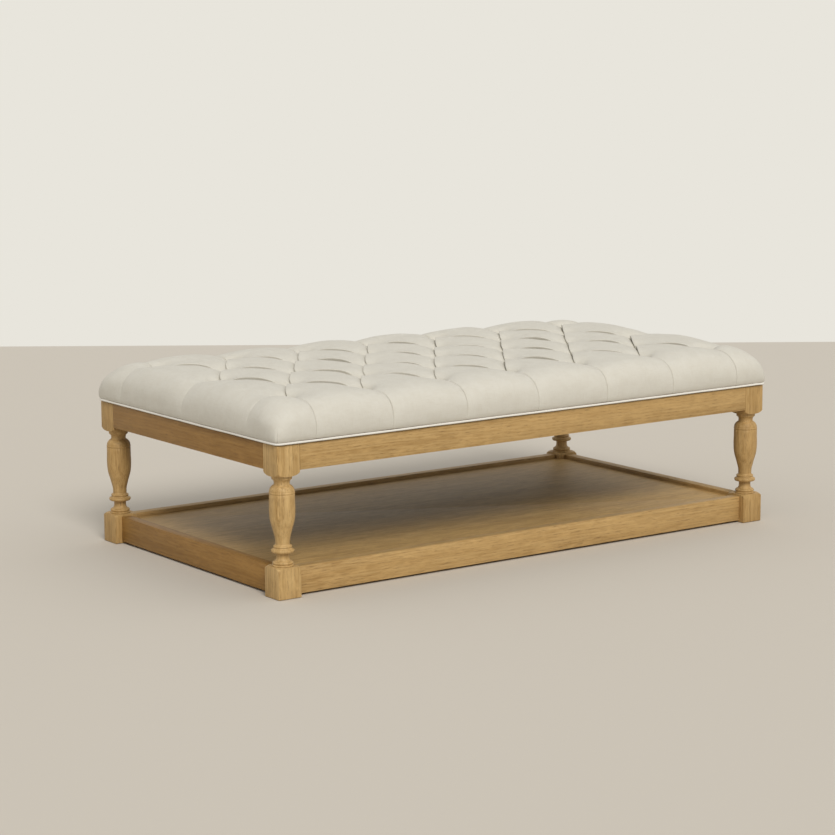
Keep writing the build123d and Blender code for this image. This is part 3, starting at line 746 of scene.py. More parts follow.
class TuftedSurface:
    """The cover's surface, worked out from places in the flat cloth.

    The seat is split into pillows by pleats between neighbouring tufts. Each patch is a grid
    of points with their places in the flat cloth, by which the patches are joined."""

    def __init__(self, sizes):
        self.sizes = sizes
        radius = sizes.button_radius
        self.left = buttons_low.x + radius
        self.front = buttons_low.y + radius
        self.floor = buttons_low.z
        self.last_column = 2 * (sizes.tuft_columns - 1)
        self.last_row = sizes.tuft_rows - 1
        self.pitch = -2 * self.left / (sizes.tuft_columns - 1)
        self.row_pitch = -2 * self.front / self.last_row
        self.depth = sizes.crown_height - self.floor
        self.half_x = self.pitch / 2
        self.half_y = self.row_pitch
        self.span = math.hypot(self.half_x, self.half_y)
        self.reach = self.half_x * self.half_y / self.span
        self.long_edge = smooth_outline(LONG_EDGE)
        self.short_edge = smooth_outline(SHORT_EDGE)
        self.tufts = self.tuft_places()
        self.waves = self.wave_table()
        self.points = []
        self.cloth = []
        self.faces = []
        self.known = {}

    def tuft_places(self):
        """Every tuft by its doubled column and its row."""
        places = {}
        for row in range(self.sizes.tuft_rows):
            for column in range(self.sizes.tuft_columns - row % 2):
                place = (self.left + (column + (row % 2) / 2) * self.pitch,
                         self.front + row * self.row_pitch)
                places[(2 * column + row % 2, row)] = place
        return places

    def wave_table(self):
        """Slow waves of the padding: direction, length, phase and share."""
        pick = random.Random(self.sizes.seed)
        waves = []
        for _ in range(WAVE_COUNT):
            turn = pick.uniform(0, math.pi)
            length = pick.uniform(*WAVE_LENGTHS)
            waves.append((math.cos(turn) / length, math.sin(turn) / length,
                          pick.uniform(0, 1), pick.uniform(0.4, 1.0)))
        return waves

    def waviness(self, x, y):
        """Height of the slow waves at a place in the flat cloth."""
        total = 0.0
        for across, up, phase, share in self.waves:
            total = total + share * np.sin(2 * math.pi * (x * across + y * up + phase))
        return total * self.sizes.unevenness / 3

    def fold(self, key):
        """The character of one pleat: its bow, its slack, where it gapes and its lip."""
        pick = random.Random(f"{self.sizes.seed} {key}")
        return (self.sizes.pleat_bow * pick.uniform(0.75, 1.25), pick.uniform(0.25, 1.0),
                pick.uniform(0.35, 0.62), pick.uniform(0.85, 1.15))

    def gathers(self, distance, turn, key):
        """Height of the gathers round a tuft."""
        pick = random.Random(f"gathers {self.sizes.seed} {key}")
        phase, second = pick.uniform(0, 6.28), pick.uniform(0, 6.28)
        near = np.exp(-np.clip(distance - GATHER_START, 0, None) / GATHER_REACH)
        ripple = np.sin(self.sizes.puckers * turn + phase) \
            + 0.5 * np.sin((self.sizes.puckers - 4) * turn + second)
        return self.sizes.pucker_depth * near * ripple * (distance > SEAT_RADIUS)

    def funnel(self, distance, turn, key, shares, depths):
        """Adds the pull of a tuft to the lists of shares and depths; gives its gathers."""
        shares.append(read_off(FUNNEL_SHARES, distance / MM))
        depths.append(np.full_like(distance, self.depth))
        return self.gathers(distance, turn, key)

    @staticmethod
    def seam(aside, way, strength, shares, depths):
        """Adds the pull of a seam over the edge to the lists; gives its shift of the cloth.

        strength is how marked it is beyond the tuft, beside a full seam."""
        shares.append(read_off(SEAM_SHARES, np.abs(aside) / MM, 2))
        faint = 1 - (1 - strength) * smooth_step(*SEAM_FAINT, way)
        depths.append(read_off(SEAM_DEPTHS, way / MM) * MM * faint)
        return fold_shift(SEAM_SHARES, np.abs(aside)) * smooth_step(*SEAM_START, way)

    @staticmethod
    def compose(share_list, depth_list):
        """One depth from several pulls; a pull with a full share decides alone."""
        left = 1.0
        weights = 0.0
        total = 0.0
        for share, depth in zip(share_list, depth_list):
            weight = share / (1 - share + 1e-7)
            left = left * (1 - share)
            weights = weights + weight
            total = total + weight * depth
        return (1 - left) * total / (weights + 1e-12)

    def crown(self, x, y):
        """Height of the padded seat before it is tufted."""
        middle = (1 - (x / cover_high.x) ** 2) * (1 - (y / cover_high.y) ** 2)
        return self.sizes.crown_height + self.sizes.seat_crown * middle

    def pleat_depth_along(self, way):
        """Depth of a pleat against the distance from its nearer tuft."""
        shallow = self.sizes.pleat_depth
        funnel = read_off(FUNNEL_SHARES, way / MM)
        return shallow + (self.depth - shallow) * funnel

    def shoulder(self, way, full):
        """How far the cloth sinks beside a seam over the edge."""
        return self.sizes.edge_shoulder * smooth_step(*SHOULDER_START, way) * fade_out(
            way, full, SHOULDER_FADE)

    def cell(self, column, row):
        """The middle of a pillow and the keys of its tufts: left, right, low and high."""
        centre = (self.left + column * self.half_x, self.front + row * self.row_pitch)
        return centre, ((column - 1, row), (column + 1, row), (column, row - 1),
                        (column, row + 1))

    def pleat(self, name, side, across, way, ends):
        """One pleat of a pillow: its shift of the cloth, its rise, share and depth."""
        bow, slack, peak, lift = self.fold(tuple(sorted(ends)))
        bow_share, slack_share = FOLD_SHARES[name]
        bow, slack = bow * bow_share, slack * slack_share
        distance = (1 - side * across) * self.reach
        off_fold = distance > 0
        share_way = (way + 1) / 2
        if self.tufts[ends[0]][0] > self.tufts[ends[1]][0]:
            share_way = 1 - share_way
        from_end = (1 - np.abs(way)) * self.span / 2
        table = LIP_SHARES if side < 0 else UNDER_SHARES
        share = read_off(table, distance / MM, 2)
        held = smooth_step(*PLEAT_START, from_end)
        slip = fold_shift(table, distance, -side) * held * lift
        opening = np.exp(-((share_way - peak) / OPEN_SHARE) ** 2) * slack
        if side > 0:
            rise = 0.0
            inner = np.exp(-((distance - SWELL_AT) / GAPE_WIDTH) ** 2) * off_fold
            slip = slip - self.sizes.pleat_gape * opening * inner * held
            fuller = share * (UNDER_TIGHT + UNDER_SLACK * opening)
            share = np.where(off_fold, np.minimum(fuller, UNDER_MOST), 1.0)
        else:
            rise = self.sizes.lip_rise * opening * off_fold * held * np.exp(
                -((distance - SWELL_AT) / LIP_WIDTH) ** 2)
        bend = -bow * np.sin(math.pi * share_way) ** 1.3 * np.exp(-(distance / BOW_REACH) ** 2)
        return slip + bend * held, rise, share, self.pleat_depth_along(from_end)

    def pillow(self, centre, p, q, corners):
        """Points of a pillow, or a part of one, between four pleats.

        p and q run from -1 to 1 across it; corners are the keys of its tufts, where there
        are any. Lips lie on its low sides, p = -1 and q = -1."""
        x = centre[0] + self.half_x * (p + q) / 2
        y = centre[1] + self.half_y * (p - q) / 2
        shares, depths = [], []
        ripple = np.zeros_like(x)
        clear = np.ones_like(x)
        seat = np.zeros(x.shape, bool)
        for key in corners:
            if key in self.tufts:
                aside, ahead = x - self.tufts[key][0], y - self.tufts[key][1]
                distance = np.hypot(aside, ahead)
                ripple = ripple + self.funnel(distance, np.arctan2(ahead, aside), key, shares,
                                              depths)
                clear = clear * smooth_step(*PULL_END, distance)
                seat |= distance < SEAT_RADIUS
        move = np.zeros(x.shape + (2,))
        raised = np.zeros_like(x)
        normals = {"p": np.array([self.half_y, self.half_x]) / self.span,
                   "q": np.array([self.half_y, -self.half_x]) / self.span}
        left, right, low, high = corners
        for name, side, across, way, ends in (
                ("p", -1, p, q, (left, low)), ("p", 1, p, q, (high, right)),
                ("q", -1, q, p, (left, high)), ("q", 1, q, p, (low, right))):
            if ends[0] in self.tufts and ends[1] in self.tufts:
                slip, rise, share, depth = self.pleat(name, side, across, way, ends)
                move = move + slip[..., None] * normals[name]
                raised = raised + rise
                shares.append(share)
                depths.append(depth)
        crown = self.sizes.pillow_crown
        height = self.crown(x, y) - crown + crown * (1 - p * p) * (1 - q * q) \
            - np.maximum(self.compose(shares, depths) - crown * (1 - clear), 0) \
            + self.waviness(x, y) * clear + ripple + raised
        height = np.where(seat, self.floor, np.maximum(height, self.floor))
        return np.stack([x + move[..., 0], y + move[..., 1], height], -1), np.stack([x, y], -1)

    def edge_strip(self, axis, side, column, row):
        """Points over an edge that runs along an axis, beside one cell, from seam to seam."""
        edge = (self.long_edge, self.short_edge)[axis]
        half = (self.half_x, self.half_y)[axis]
        rim_at = abs((self.front, self.left)[axis])
        strength = (1.0, SHORT_SEAM_SHARE)[axis]
        centre, corners = self.cell(column, row)
        middle, full, lines = centre[axis], edge[0][-1], cell_lines()
        across, way = np.meshgrid(middle + lines * half, full * np.array(EDGE_LINE_SHARES),
                                  indexing="ij")

        def place(along_edge, out):
            """x and y of a place on the way along the edge and so far out from its tufts."""
            pair = (along_edge, side * (rim_at + out))
            return pair[::-1] if axis else pair

        flat_x, flat_y = place(across, way)
        shares, depths = [], []
        ripple = np.zeros_like(across)
        slip = np.zeros_like(across)
        clear = np.ones_like(across)
        seat = np.zeros(across.shape, bool)
        for end, key in zip((middle - half, middle + half), corners[2 * axis:]):
            aside = across - end
            distance = np.hypot(aside, way)
            tuft_x, tuft_y = place(end, 0.0)
            turn = np.arctan2(flat_y - tuft_y, flat_x - tuft_x)
            ripple = ripple + self.funnel(distance, turn, key, shares, depths)
            slip = slip + np.sign(aside) * self.seam(aside, way, strength, shares, depths)
            clear = clear * smooth_step(*PULL_END, distance)
            seat |= distance < SEAT_RADIUS
        swell = np.clip(1 - ((across - middle) / half) ** 2, 0, 1)
        inset = self.compose(shares, depths) + (1 - swell) * self.shoulder(way, full) - ripple \
            - self.waviness(flat_x, flat_y) * clear * fade_out(way, full, WAVE_FADE)
        out, height, n_out, n_up = edge_profile(edge, way)
        field = self.pillow(centre, lines, (1 - 2 * axis) * lines, corners)[0][:, None]
        carried = np.exp(-(way / FIELD_REACH) ** 2)
        rim_x, rim_y = place(across[:, :1], 0.0)
        rim_z = self.sizes.crown_height - inset[:, :1] * n_up[:, :1]
        x, y = place(across + slip, out - inset * n_out)
        x = x + (field[..., 0] - rim_x) * carried
        y = y + (field[..., 1] - rim_y) * carried
        z = height - inset * n_up + (field[..., 2] - rim_z) * carried
        z = np.where(seat, self.floor, np.maximum(z, cover_low.z))
        return np.stack([x, y, z], -1), np.stack([flat_x, flat_y], -1)

    def corner_fan(self, side_x, side_y):
        """Points of a corner pillow, as a fan round its tuft."""
        key = (0 if side_x < 0 else self.last_column, 0 if side_y < 0 else self.last_row)
        tuft_x, tuft_y = self.tufts[key]
        near_mitre = np.array(MITRE_LINE_SHARES)
        lines = np.sort(np.concatenate([(cell_lines() + 1) / 2, 0.5 - near_mitre,
                                        0.5 + near_mitre]))
        turn, share = np.meshgrid(lines * math.pi / 2, np.array(EDGE_LINE_SHARES),
                                  indexing="ij")
        cos_turn, sin_turn = np.cos(turn), np.sin(turn)
        blend = sin_turn ** 2
        short, long = ([share * edge[0][-1], *edge_profile(edge, share * edge[0][-1])]
                       for edge in (self.short_edge, self.long_edge))
        way, _, height, n_out, n_up = (a * (1 - blend) + b * blend for a, b in zip(short, long))
        power = read_off(CORNER_POWERS, share)
        spread = (np.abs(cos_turn) ** power + np.abs(sin_turn) ** power) ** (-1 / power)
        plan_x, plan_y = short[1] * spread * cos_turn, long[1] * spread * sin_turn
        distance = np.where(share == 0, 0.0, way)
        shares, depths = [], []
        ripple = self.funnel(distance, np.arctan2(side_y * sin_turn, side_x * cos_turn), key,
                             shares, depths)
        slip = np.zeros_like(way)
        for seam_turn, sign, strength in ((turn, 1, SHORT_SEAM_SHARE),
                                          (math.pi / 2 - turn, -1, 1.0)):
            aside = way * np.sin(seam_turn)
            slip = slip + sign * self.seam(aside, way, strength, shares, depths)
        full = way[:, -1:]
        swell = np.sin(2 * turn)
        drop = CORNER_DROP * swell * smooth_step(*CORNER_START, way) * (
            1 - smooth_step(full * CORNER_END[0], full * CORNER_END[1], way))
        mitre = self.sizes.mitre_depth \
            * np.exp(-(way * (turn - math.pi / 4) / MITRE_WIDTH) ** 2) \
            * smooth_step(full - MITRE_START[0], full - MITRE_START[1], way)
        flat_x = tuft_x + side_x * way * cos_turn
        flat_y = tuft_y + side_y * way * sin_turn
        clear = smooth_step(*PULL_END, distance)
        inset = self.compose(shares, depths) + mitre + (1 - swell) * self.shoulder(way, full) \
            - ripple - self.waviness(flat_x, flat_y) * clear * fade_out(way, full, WAVE_FADE)
        pull = 1 - n_out * inset / (np.hypot(plan_x, plan_y) + 1e-9)
        x = tuft_x + side_x * (plan_x * pull - slip * sin_turn)
        y = tuft_y + side_y * (plan_y * pull + slip * cos_turn)
        z = height - inset * n_up - drop
        z = np.where(distance < SEAT_RADIUS, self.floor, np.maximum(z, cover_low.z))
        return np.stack([x, y, z], -1), np.stack([flat_x, flat_y], -1)

    def settle(self, points, flats, inside=None):
        """Numbers a grid of points, the same for the same place in the flat cloth.

        Points that are not inside are left out and numbered -1."""
        numbers = np.full(flats.shape[:2], -1)
        for i, j in np.ndindex(numbers.shape):
            if inside is not None and not inside[i, j]:
                continue
            key = (round(flats[i, j, 0] / MM, 2) + 0.0, round(flats[i, j, 1] / MM, 2) + 0.0)
            if key not in self.known:
                self.known[key] = len(self.points)
                self.points.append(points[i, j])
                self.cloth.append(flats[i, j])
            numbers[i, j] = self.known[key]
        return numbers

    def add_faces(self, numbers, flip=False):
        """Adds the faces of a grid of point numbers, without points left out or repeated."""
        rows, cols = numbers.shape
        for i in range(rows - 1):
            for j in range(cols - 1):
                loop = [n for n in (numbers[i, j], numbers[i + 1, j], numbers[i + 1, j + 1],
                                    numbers[i, j + 1]) if n >= 0]
                loop = [n for k, n in enumerate(loop) if n != loop[k - 1]]
                if len(loop) >= 3:
                    self.faces.append(tuple(reversed(loop)) if flip else tuple(loop))


def cell_lines():
    """Mesh lines from one pleat to the next, from -1 to 1."""
    shares = np.array(LINE_SHARES)
    return np.concatenate([shares - 1, (1 - shares)[::-1][1:]])


def build_field(surface):
    """Pillows between the outer tufts, whole or cut by the outer rows and columns."""
    lines = cell_lines()
    p, q = np.meshgrid(lines, lines, indexing="ij")
    i, j = np.indices(p.shape)
    end = len(lines) - 1
    for row in range(surface.last_row + 1):
        for column in range(surface.last_column + 1):
            if (column + row) % 2 == 0:
                continue
            inside = ((row > 0) | (i >= j)) & ((row < surface.last_row) | (i <= j)) \
                & ((column > 0) | (i + j >= end)) \
                & ((column < surface.last_column) | (i + j <= end))
            centre, corners = surface.cell(column, row)
            points, flats = surface.pillow(centre, p, q, corners)
            surface.add_faces(surface.settle(points, flats, inside))


def build_edges(surface):
    """The strips over the four edges, the long ones first."""
    last = (surface.last_column, surface.last_row)
    for axis in (0, 1):
        for side in (-1, 1):
            for number in range(1, last[axis], 2):
                cell = (number, 0 if side < 0 else last[1 - axis])
                column, row = cell[::-1] if axis else cell
                points, flats = surface.edge_strip(axis, side, column, row)
                numbers = surface.settle(points, flats)
                surface.add_faces(numbers, flip=(side > 0) == (axis == 0))


def build_corners(surface):
    """The four corner pillows."""
    for side_x in (-1, 1):
        for side_y in (-1, 1):
            points, flats = surface.corner_fan(side_x, side_y)
            surface.add_faces(surface.settle(points, flats), flip=side_x * side_y < 0)


def rim_loop(mesh):
    """The open rim of a mesh, in the order in which the closing faces run."""
    onward = {}
    for edge in mesh.edges:
        if edge.is_boundary:
            loop = edge.link_loops[0]
            onward[loop.link_loop_next.vert] = loop.vert
    first = next(iter(onward))
    rim = [first]
    while onward.get(rim[-1], first) is not first and len(rim) <= len(onward):
        rim.append(onward[rim[-1]])
    if len(rim) != len(onward):
        raise RuntimeError(f"the cover has open seams: {len(onward)} rim edges, {len(rim)} joined")
    return rim


def close_underside(piece, sizes):
    """Closes the cover round its hollow for the foam and the deck."""
    mesh = bmesh.new()
    mesh.from_mesh(piece.data)
    layer = mesh.loops.layers.uv[CLOTH_LAYER]
    rim = rim_loop(mesh)
    clear = sizes.hollow_clearance
    half_x, half_y = foam_high.x + clear, foam_high.y + clear
    radius = FOAM_CORNER + clear
    roof = foam_high.z + clear
    foot = cover_low.z + 0.1 * MM

    def inward(point, inset):
        """A place so far out from the wall of the hollow, beside a point."""
        core_x, core_y = half_x - radius, half_y - radius
        core = Vector((min(max(point.x, -core_x), core_x), min(max(point.y, -core_y), core_y)))
        away = (Vector((point.x, point.y)) - core).normalized()
        return core + away * (radius + inset)

    # Rings from the rim in under the padding, up the wall of the hollow and onto its roof
    steps = ((10.0 * MM, foot), (4.0 * MM, foot), (0.0, foot), (0.0, roof), (-6.0 * MM, roof))
    places = [vertex.co.copy() for vertex in rim]
    cloth = [vertex.link_loops[0][layer].uv.copy() for vertex in rim]
    previous = rim
    for number, (inset, height) in enumerate(steps):
        fresh = []
        for place in places:
            inner = inward(place, inset)
            fresh.append(mesh.verts.new((inner.x, inner.y, height)))
        for k in range(len(rim)):
            after = (k + 1) % len(rim)
            face = mesh.faces.new((previous[k], previous[after], fresh[after], fresh[k]))
            face.smooth = number < 1
            for corner, place in zip(face.loops, (k, after, after, k)):
                corner[layer].uv = cloth[place] * (1 + 0.02 * number)
        previous = fresh
    mesh.faces.new(previous)
    mesh.to_mesh(piece.data)
    mesh.free()


def add_cloth_layer(mesh, cloth):
    """Writes the flat cloth's places to a layer for the weave."""
    layer = mesh.uv_layers.new(name=CLOTH_LAYER)
    corners = np.empty(len(mesh.loops), int)
    mesh.loops.foreach_get("vertex_index", corners)
    layer.data.foreach_set("uv", np.array(cloth)[corners].ravel())


class OTTOMAN_OT_cushion(bpy.types.Operator):
    """Builds the diamond tufted linen cushion"""

    bl_idname = "ottoman.cushion"
    bl_label = "Tufted Cushion"

    def execute(self, context):
        cloth = settings().cloth
        surface = TuftedSurface(settings().cushion)
        build_field(surface)
        build_edges(surface)
        build_corners(surface)
        linen = linen_material("linen_plain_weave", cloth.linen_colour, cloth.linen_slub_colour,
                               cloth.thread_pitch)
        outward = [face[::-1] for face in surface.faces]
        cushion = new_piece("tufted_cushion", surface.points, outward, linen)
        add_cloth_layer(cushion.data, surface.cloth)
        soften(cushion)
        close_underside(cushion, settings().cushion)
        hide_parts("tufted_cover")
        return {"FINISHED"}


def ring_faces(rings, around, closed=False):
    """Faces between rings of points in turn, and from the last to the first if closed."""
    faces = []
    for ring in range(rings if closed else rings - 1):
        here, there = ring * around, (ring + 1) % rings * around
        for k in range(around):
            after = (k + 1) % around
            faces.append((here + k, here + after, there + after, there + k))
    return faces


def lathe(profile, around):
    """Points and faces of a turned form on the origin; profile is radius and height."""
    turns = [2 * math.pi * k / around for k in range(around)]
    points = [(radius * math.cos(turn), radius * math.sin(turn), height)
              for radius, height in profile for turn in turns]
    top = (len(profile) - 1) * around
    faces = ring_faces(len(profile), around)
    faces += [tuple(reversed(range(around))), tuple(range(top, top + around))]
    return points, faces


class OTTOMAN_OT_buttons(bpy.types.Operator):
    """Covers the tuft buttons in linen"""

    bl_idname = "ottoman.buttons"
    bl_label = "Covered Buttons"

    def execute(self, context):
        sizes, cloth = settings().cushion, settings().cloth
        surface = TuftedSurface(sizes)
        radius = sizes.button_radius
        rise = buttons_high.z - buttons_low.z
        base, loops = lathe([(radius * out, rise * up) for out, up in BUTTON_PROFILE],
                            BUTTON_SIDES)
        points, faces, places = [], [], []
        for key, (x, y) in surface.tufts.items():
            pick = random.Random(f"button {sizes.seed} {key}")
            lean_x, lean_y = (pick.uniform(-BUTTON_LEAN, BUTTON_LEAN) for _ in range(2))
            spin = pick.uniform(0, 6.28)
            faces.extend(tuple(len(points) + n for n in face) for face in loops)
            for px, py, pz in base:
                turned_x = px * math.cos(spin) - py * math.sin(spin)
                turned_y = px * math.sin(spin) + py * math.cos(spin)
                rim = max(0.0, 1 - pz / (BUTTON_GATHER_TOP * rise))
                gather = 1 - BUTTON_GATHER_DEPTH * rim * (
                    1 + math.sin(BUTTON_GATHERS * math.atan2(py, px)))
                tilt = (turned_x * lean_x + turned_y * lean_y) * min(1.0, pz / rise)
                points.append((x + turned_x * gather, y + turned_y * gather,
                               buttons_low.z + pz + tilt))
                places.append((x + px, y + py))
        linen = linen_material("linen_button", cloth.linen_colour, cloth.linen_slub_colour,
                               cloth.thread_pitch)
        buttons = new_piece("covered_buttons", points, faces, linen)
        add_cloth_layer(buttons.data, places)
        soften(buttons)
        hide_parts("tuft_buttons")
        return {"FINISHED"}


def welt_path(half_x, half_y, radius, step):
    """Points round a rectangle with rounded corners, about a step apart on its sides."""
    points = []
    corners = ((1, -1, -90), (1, 1, 0), (-1, 1, 90), (-1, -1, 180))
    for side_x, side_y, start in corners:
        centre_x, centre_y = side_x * (half_x - radius), side_y * (half_y - radius)
        for k in range(CORNER_STEPS + 1):
            turn = math.radians(start + 90 * k / CORNER_STEPS)
            points.append((centre_x + radius * math.cos(turn),
                           centre_y + radius * math.sin(turn)))
    path = []
    for k, point in enumerate(points):
        after = points[(k + 1) % len(points)]
        parts = max(1, round(math.dist(point, after) / step))
        for part in range(parts):
            share = part / parts
            path.append((point[0] + (after[0] - point[0]) * share,
                         point[1] + (after[1] - point[1]) * share))
    return path


def wavy(waves, way):
    """Sum of waves at a place on the way; each is a size, radians in a metre and a phase."""
    return sum(size * math.sin(way * pace + phase) for size, pace, phase in waves)


class OTTOMAN_OT_piping(bpy.types.Operator):
    """Sews the bright piping round the foot of the cushion"""

    bl_idname = "ottoman.piping"
    bl_label = "Piping"

    def execute(self, context):
        sizes, cloth = settings().cushion, settings().cloth
        radius = sizes.piping_radius
        middle = (piping_low.z + piping_high.z) / 2
        half_x, half_y = piping_high.x - radius, piping_high.y - radius
        path = welt_path(half_x, half_y, PIPING_CORNER, PIPING_STEP)
        points, places = [], []
        way = 0.0
        for k, (x, y) in enumerate(path):
            before, after = path[k - 1], path[(k + 1) % len(path)]
            tangent = Vector((after[0] - before[0], after[1] - before[1], 0)).normalized()
            outward = Vector((tangent.y, -tangent.x, 0))
            ring = radius * PIPING_FIT * (1 + wavy(PIPING_SWELLS, way))
            level = middle + wavy(PIPING_SAGS, way)
            for j in range(PIPING_SIDES):
                turn = 2 * math.pi * j / PIPING_SIDES
                offset = outward * (math.cos(turn) * ring)
                points.append((x + offset.x, y + offset.y,
                               level + math.sin(turn) * ring * PIPING_FIT))
                places.append((way, radius * turn))
            way += math.dist((x, y), after)
        faces = [(a, d, c, b)
                 for a, b, c, d in ring_faces(len(path), PIPING_SIDES, closed=True)]
        linen = linen_material("linen_piping", cloth.piping_colour,
                               tuple(c * 0.88 for c in cloth.piping_colour), cloth.thread_pitch)
        piping = new_piece("welt_piping", points, faces, linen)
        add_cloth_layer(piping.data, places)
        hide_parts("piping")
        return {"FINISHED"}


class OTTOMAN_OT_oak(bpy.types.Operator):
    """Finishes the oak legs, aprons, rails and shelf"""

    bl_idname = "ottoman.oak"
    bl_label = "Oak Frame"

    def execute(self, context):
        radius = settings().timber.edge_radius
        for axis, names in ((0, OAK_ALONG_X), (1, OAK_ALONG_Y), (2, OAK_LEGS)):
            for index, name in enumerate(names):
                step_x, step_y, step_z = (step * index for step in GRAIN_STEP)
                offset = (step_x + axis, step_y, step_z)
                # Painted shade and painted light: some boards get their colours scaled by the
                # table of board tones
                tone = BOARD_TONES_AND_PAINTED_LIGHT.get(name, PLAIN_TONE)
                dress((name,), oak_material(f"oak_{name}", axis, offset, tone), radius)
        return {"FINISHED"}


class OTTOMAN_OT_inner_timber(bpy.types.Operator):
    """Finishes the softwood, dowels and plywood inside the frame"""

    bl_idname = "ottoman.inner_timber"
    bl_label = "Inner Timber"

    def execute(self, context):
        finish = settings().timber
        soft = [plain_timber_material(f"softwood_along_{'xyz'[axis]}", axis,
                                      finish.softwood_colour, finish.softwood_ring_colour, 6 * MM)
                for axis in (0, 1)]
        beech = plain_timber_material("beech_dowel", 0, finish.beech_colour,
                                      finish.softwood_ring_colour, 3 * MM)
        ply = plain_timber_material("plywood_face", 0, finish.plywood_colour,
                                    finish.softwood_ring_colour, 22 * MM)
        dress(SOFTWOOD_ALONG_X + CORNER_BLOCKS, soft[0], finish.edge_radius)
        dress(SOFTWOOD_ALONG_Y, soft[1], finish.edge_radius)
        dress(DOWELS, beech)
        dress(("seat_deck",), ply)
        return {"FINISHED"}


class OTTOMAN_OT_fastenings(bpy.types.Operator):
    """Finishes the zinc plated screws and staples"""

    bl_idname = "ottoman.fastenings"
    bl_label = "Screws and Staples"

    def execute(self, context):
        dress(FASTENINGS, grained_material("zinc_plated_steel", settings().timber.steel_colour,
                                           0.36, 900.0, 0.04 * MM, metallic=1.0))
        return {"FINISHED"}


class OTTOMAN_OT_inner_cloths(bpy.types.Operator):
    """Finishes the foam, twines and felt glides"""

    bl_idname = "ottoman.inner_cloths"
    bl_label = "Foam, Twines and Felt"

    def execute(self, context):
        cloth = settings().cloth
        foam = grained_material("open_cell_foam", cloth.foam_colour, 0.95, 700.0, 0.6 * MM)
        twine = grained_material("waxed_twine", cloth.twine_colour, 0.6, 1500.0, 0.3 * MM)
        # Near-black felt: partly the glides' own colour, partly painted contact shade under the
        # feet
        felt = grained_material("dense_felt_and_contact_shade", cloth.felt_and_contact_shade_colour, 0.96, 1200.0, 0.4 * MM)
        dress(("foam_core",), foam)
        dress(("tuft_twines",), twine)
        dress(GLIDES, felt, edge_radius=0.3 * MM)
        return {"FINISHED"}


def dust_cloth_drop(x, y, rail_x, half_x, half_y, cloth):
    """How far the dust cover hangs below its staples at a place."""
    if abs(x) < rail_x:
        loose = 1 - (x / rail_x) ** 2
    else:
        loose = cloth.dust_end_share * math.sin(
            math.pi * (abs(x) - rail_x) / (half_x - rail_x)) * (1 - (y / half_y) ** 2)
    ripple = math.sin(31 * x + 6 * y) * math.sin(24 * y - 5 * x + 1.3)
    return cloth.dust_sag * loose * (1 - 0.25 * (y / half_y) ** 2 + 0.12 * ripple)


class OTTOMAN_OT_dust_cover(bpy.types.Operator):
    """Stretches the dust cover under the seat"""

    bl_idname = "ottoman.dust_cover"
    bl_label = "Dust Cover"

    def execute(self, context):
        cloth = settings().cloth
        leg_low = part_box("leg_back_right")[0]
        rail_low, rail_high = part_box("seat_cross_rail_right")
        rail_x = (rail_low.x + rail_high.x) / 2
        half_x, half_y = dust_high.x, dust_high.y
        notch_x, notch_y = leg_low.x - cloth.dust_gap, leg_low.y - cloth.dust_gap
        lines = []
        for notch, half, count in ((notch_x, half_x, 26), (notch_y, half_y, 14)):
            outward = [notch * step / count for step in range(1, count + 1)]
            outward += [(notch + half) / 2, half]
            lines.append([-place for place in reversed(outward)] + [0.0] + outward)
        vertices, numbers = [], {}
        for x in lines[0]:
            for y in lines[1]:
                if abs(x) > notch_x and abs(y) > notch_y:
                    continue
                drop = dust_cloth_drop(x, y, rail_x, half_x, half_y, cloth)
                numbers[x, y] = len(vertices)
                vertices += [(x, y, dust_low.z - drop), (x, y, dust_high.z - drop)]
        faces, sides = [], set()
        for x, next_x in zip(lines[0], lines[0][1:]):
            for y, next_y in zip(lines[1], lines[1][1:]):
                ring = [numbers.get(place) for place in (
                    (x, y), (next_x, y), (next_x, next_y), (x, next_y))]
                if None in ring:
                    continue
                faces += [tuple(reversed(ring)), tuple(n + 1 for n in ring)]
                sides |= set(zip(ring, ring[1:] + ring[:1]))
        faces += [(a, b, b + 1, a + 1) for a, b in sorted(sides) if (b, a) not in sides]
        dust = grained_material("non_woven_cloth", cloth.dust_cloth_colour, 0.9, 600.0,
                                0.3 * MM)
        sheet = new_piece("stapled_dust_cover", vertices, faces, dust)
        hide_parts("dust_cover")
        return {"FINISHED"}


def add_floor(stage):
    """A matt floor with a straight far edge, square to the view."""
    material, tree, shader = new_material("floor_paint")
    shader.inputs["Roughness"].default_value = 0.9
    shader.inputs["Specular IOR Level"].default_value = 0.1
    put(tree, shader.inputs["Base Color"], stage.floor_colour)
    mesh = bpy.data.meshes.new("floor")
    wide, far = 40.0, stage.floor_reach
    turn = Matrix.Rotation(stage.camera_heading, 3, "Z")
    corners = [turn @ Vector((x, y, 0.0))
               for x, y in ((-wide, -wide), (wide, -wide), (wide, far), (-wide, far))]
    mesh.from_pydata([tuple(corner) for corner in corners], [], [(0, 1, 2, 3)])
    floor = add_object("floor", mesh)
    mesh.materials.append(material)


def add_world(stage):
    """Light from all round, and the backdrop that the camera sees."""
    world = bpy.data.worlds.new("pale_room")
    bpy.context.scene.world = world
    world.use_nodes = True
    tree = world.node_tree
    tree.nodes.clear()
    output = tree.nodes.new("ShaderNodeOutputWorld")
    light = node(tree, "Background", {"Color": WARM_WHITE, "Strength": stage.world_strength})
    seen = node(tree, "Background", {"Color": stage.backdrop_colour, "Strength": 1.0})
    rays = node(tree, "LightPath").outputs
    direct = math_node(tree, "MAXIMUM", rays["Is Camera Ray"], math_node(
        tree, "MAXIMUM", rays["Is Glossy Ray"], rays["Is Transmission Ray"]))
    mixed = tree.nodes.new("ShaderNodeMixShader")
    for number, socket in enumerate((direct, light.outputs[0], seen.outputs[0])):
        tree.links.new(socket, mixed.inputs[number])
    tree.links.new(mixed.outputs[0], output.inputs[0])


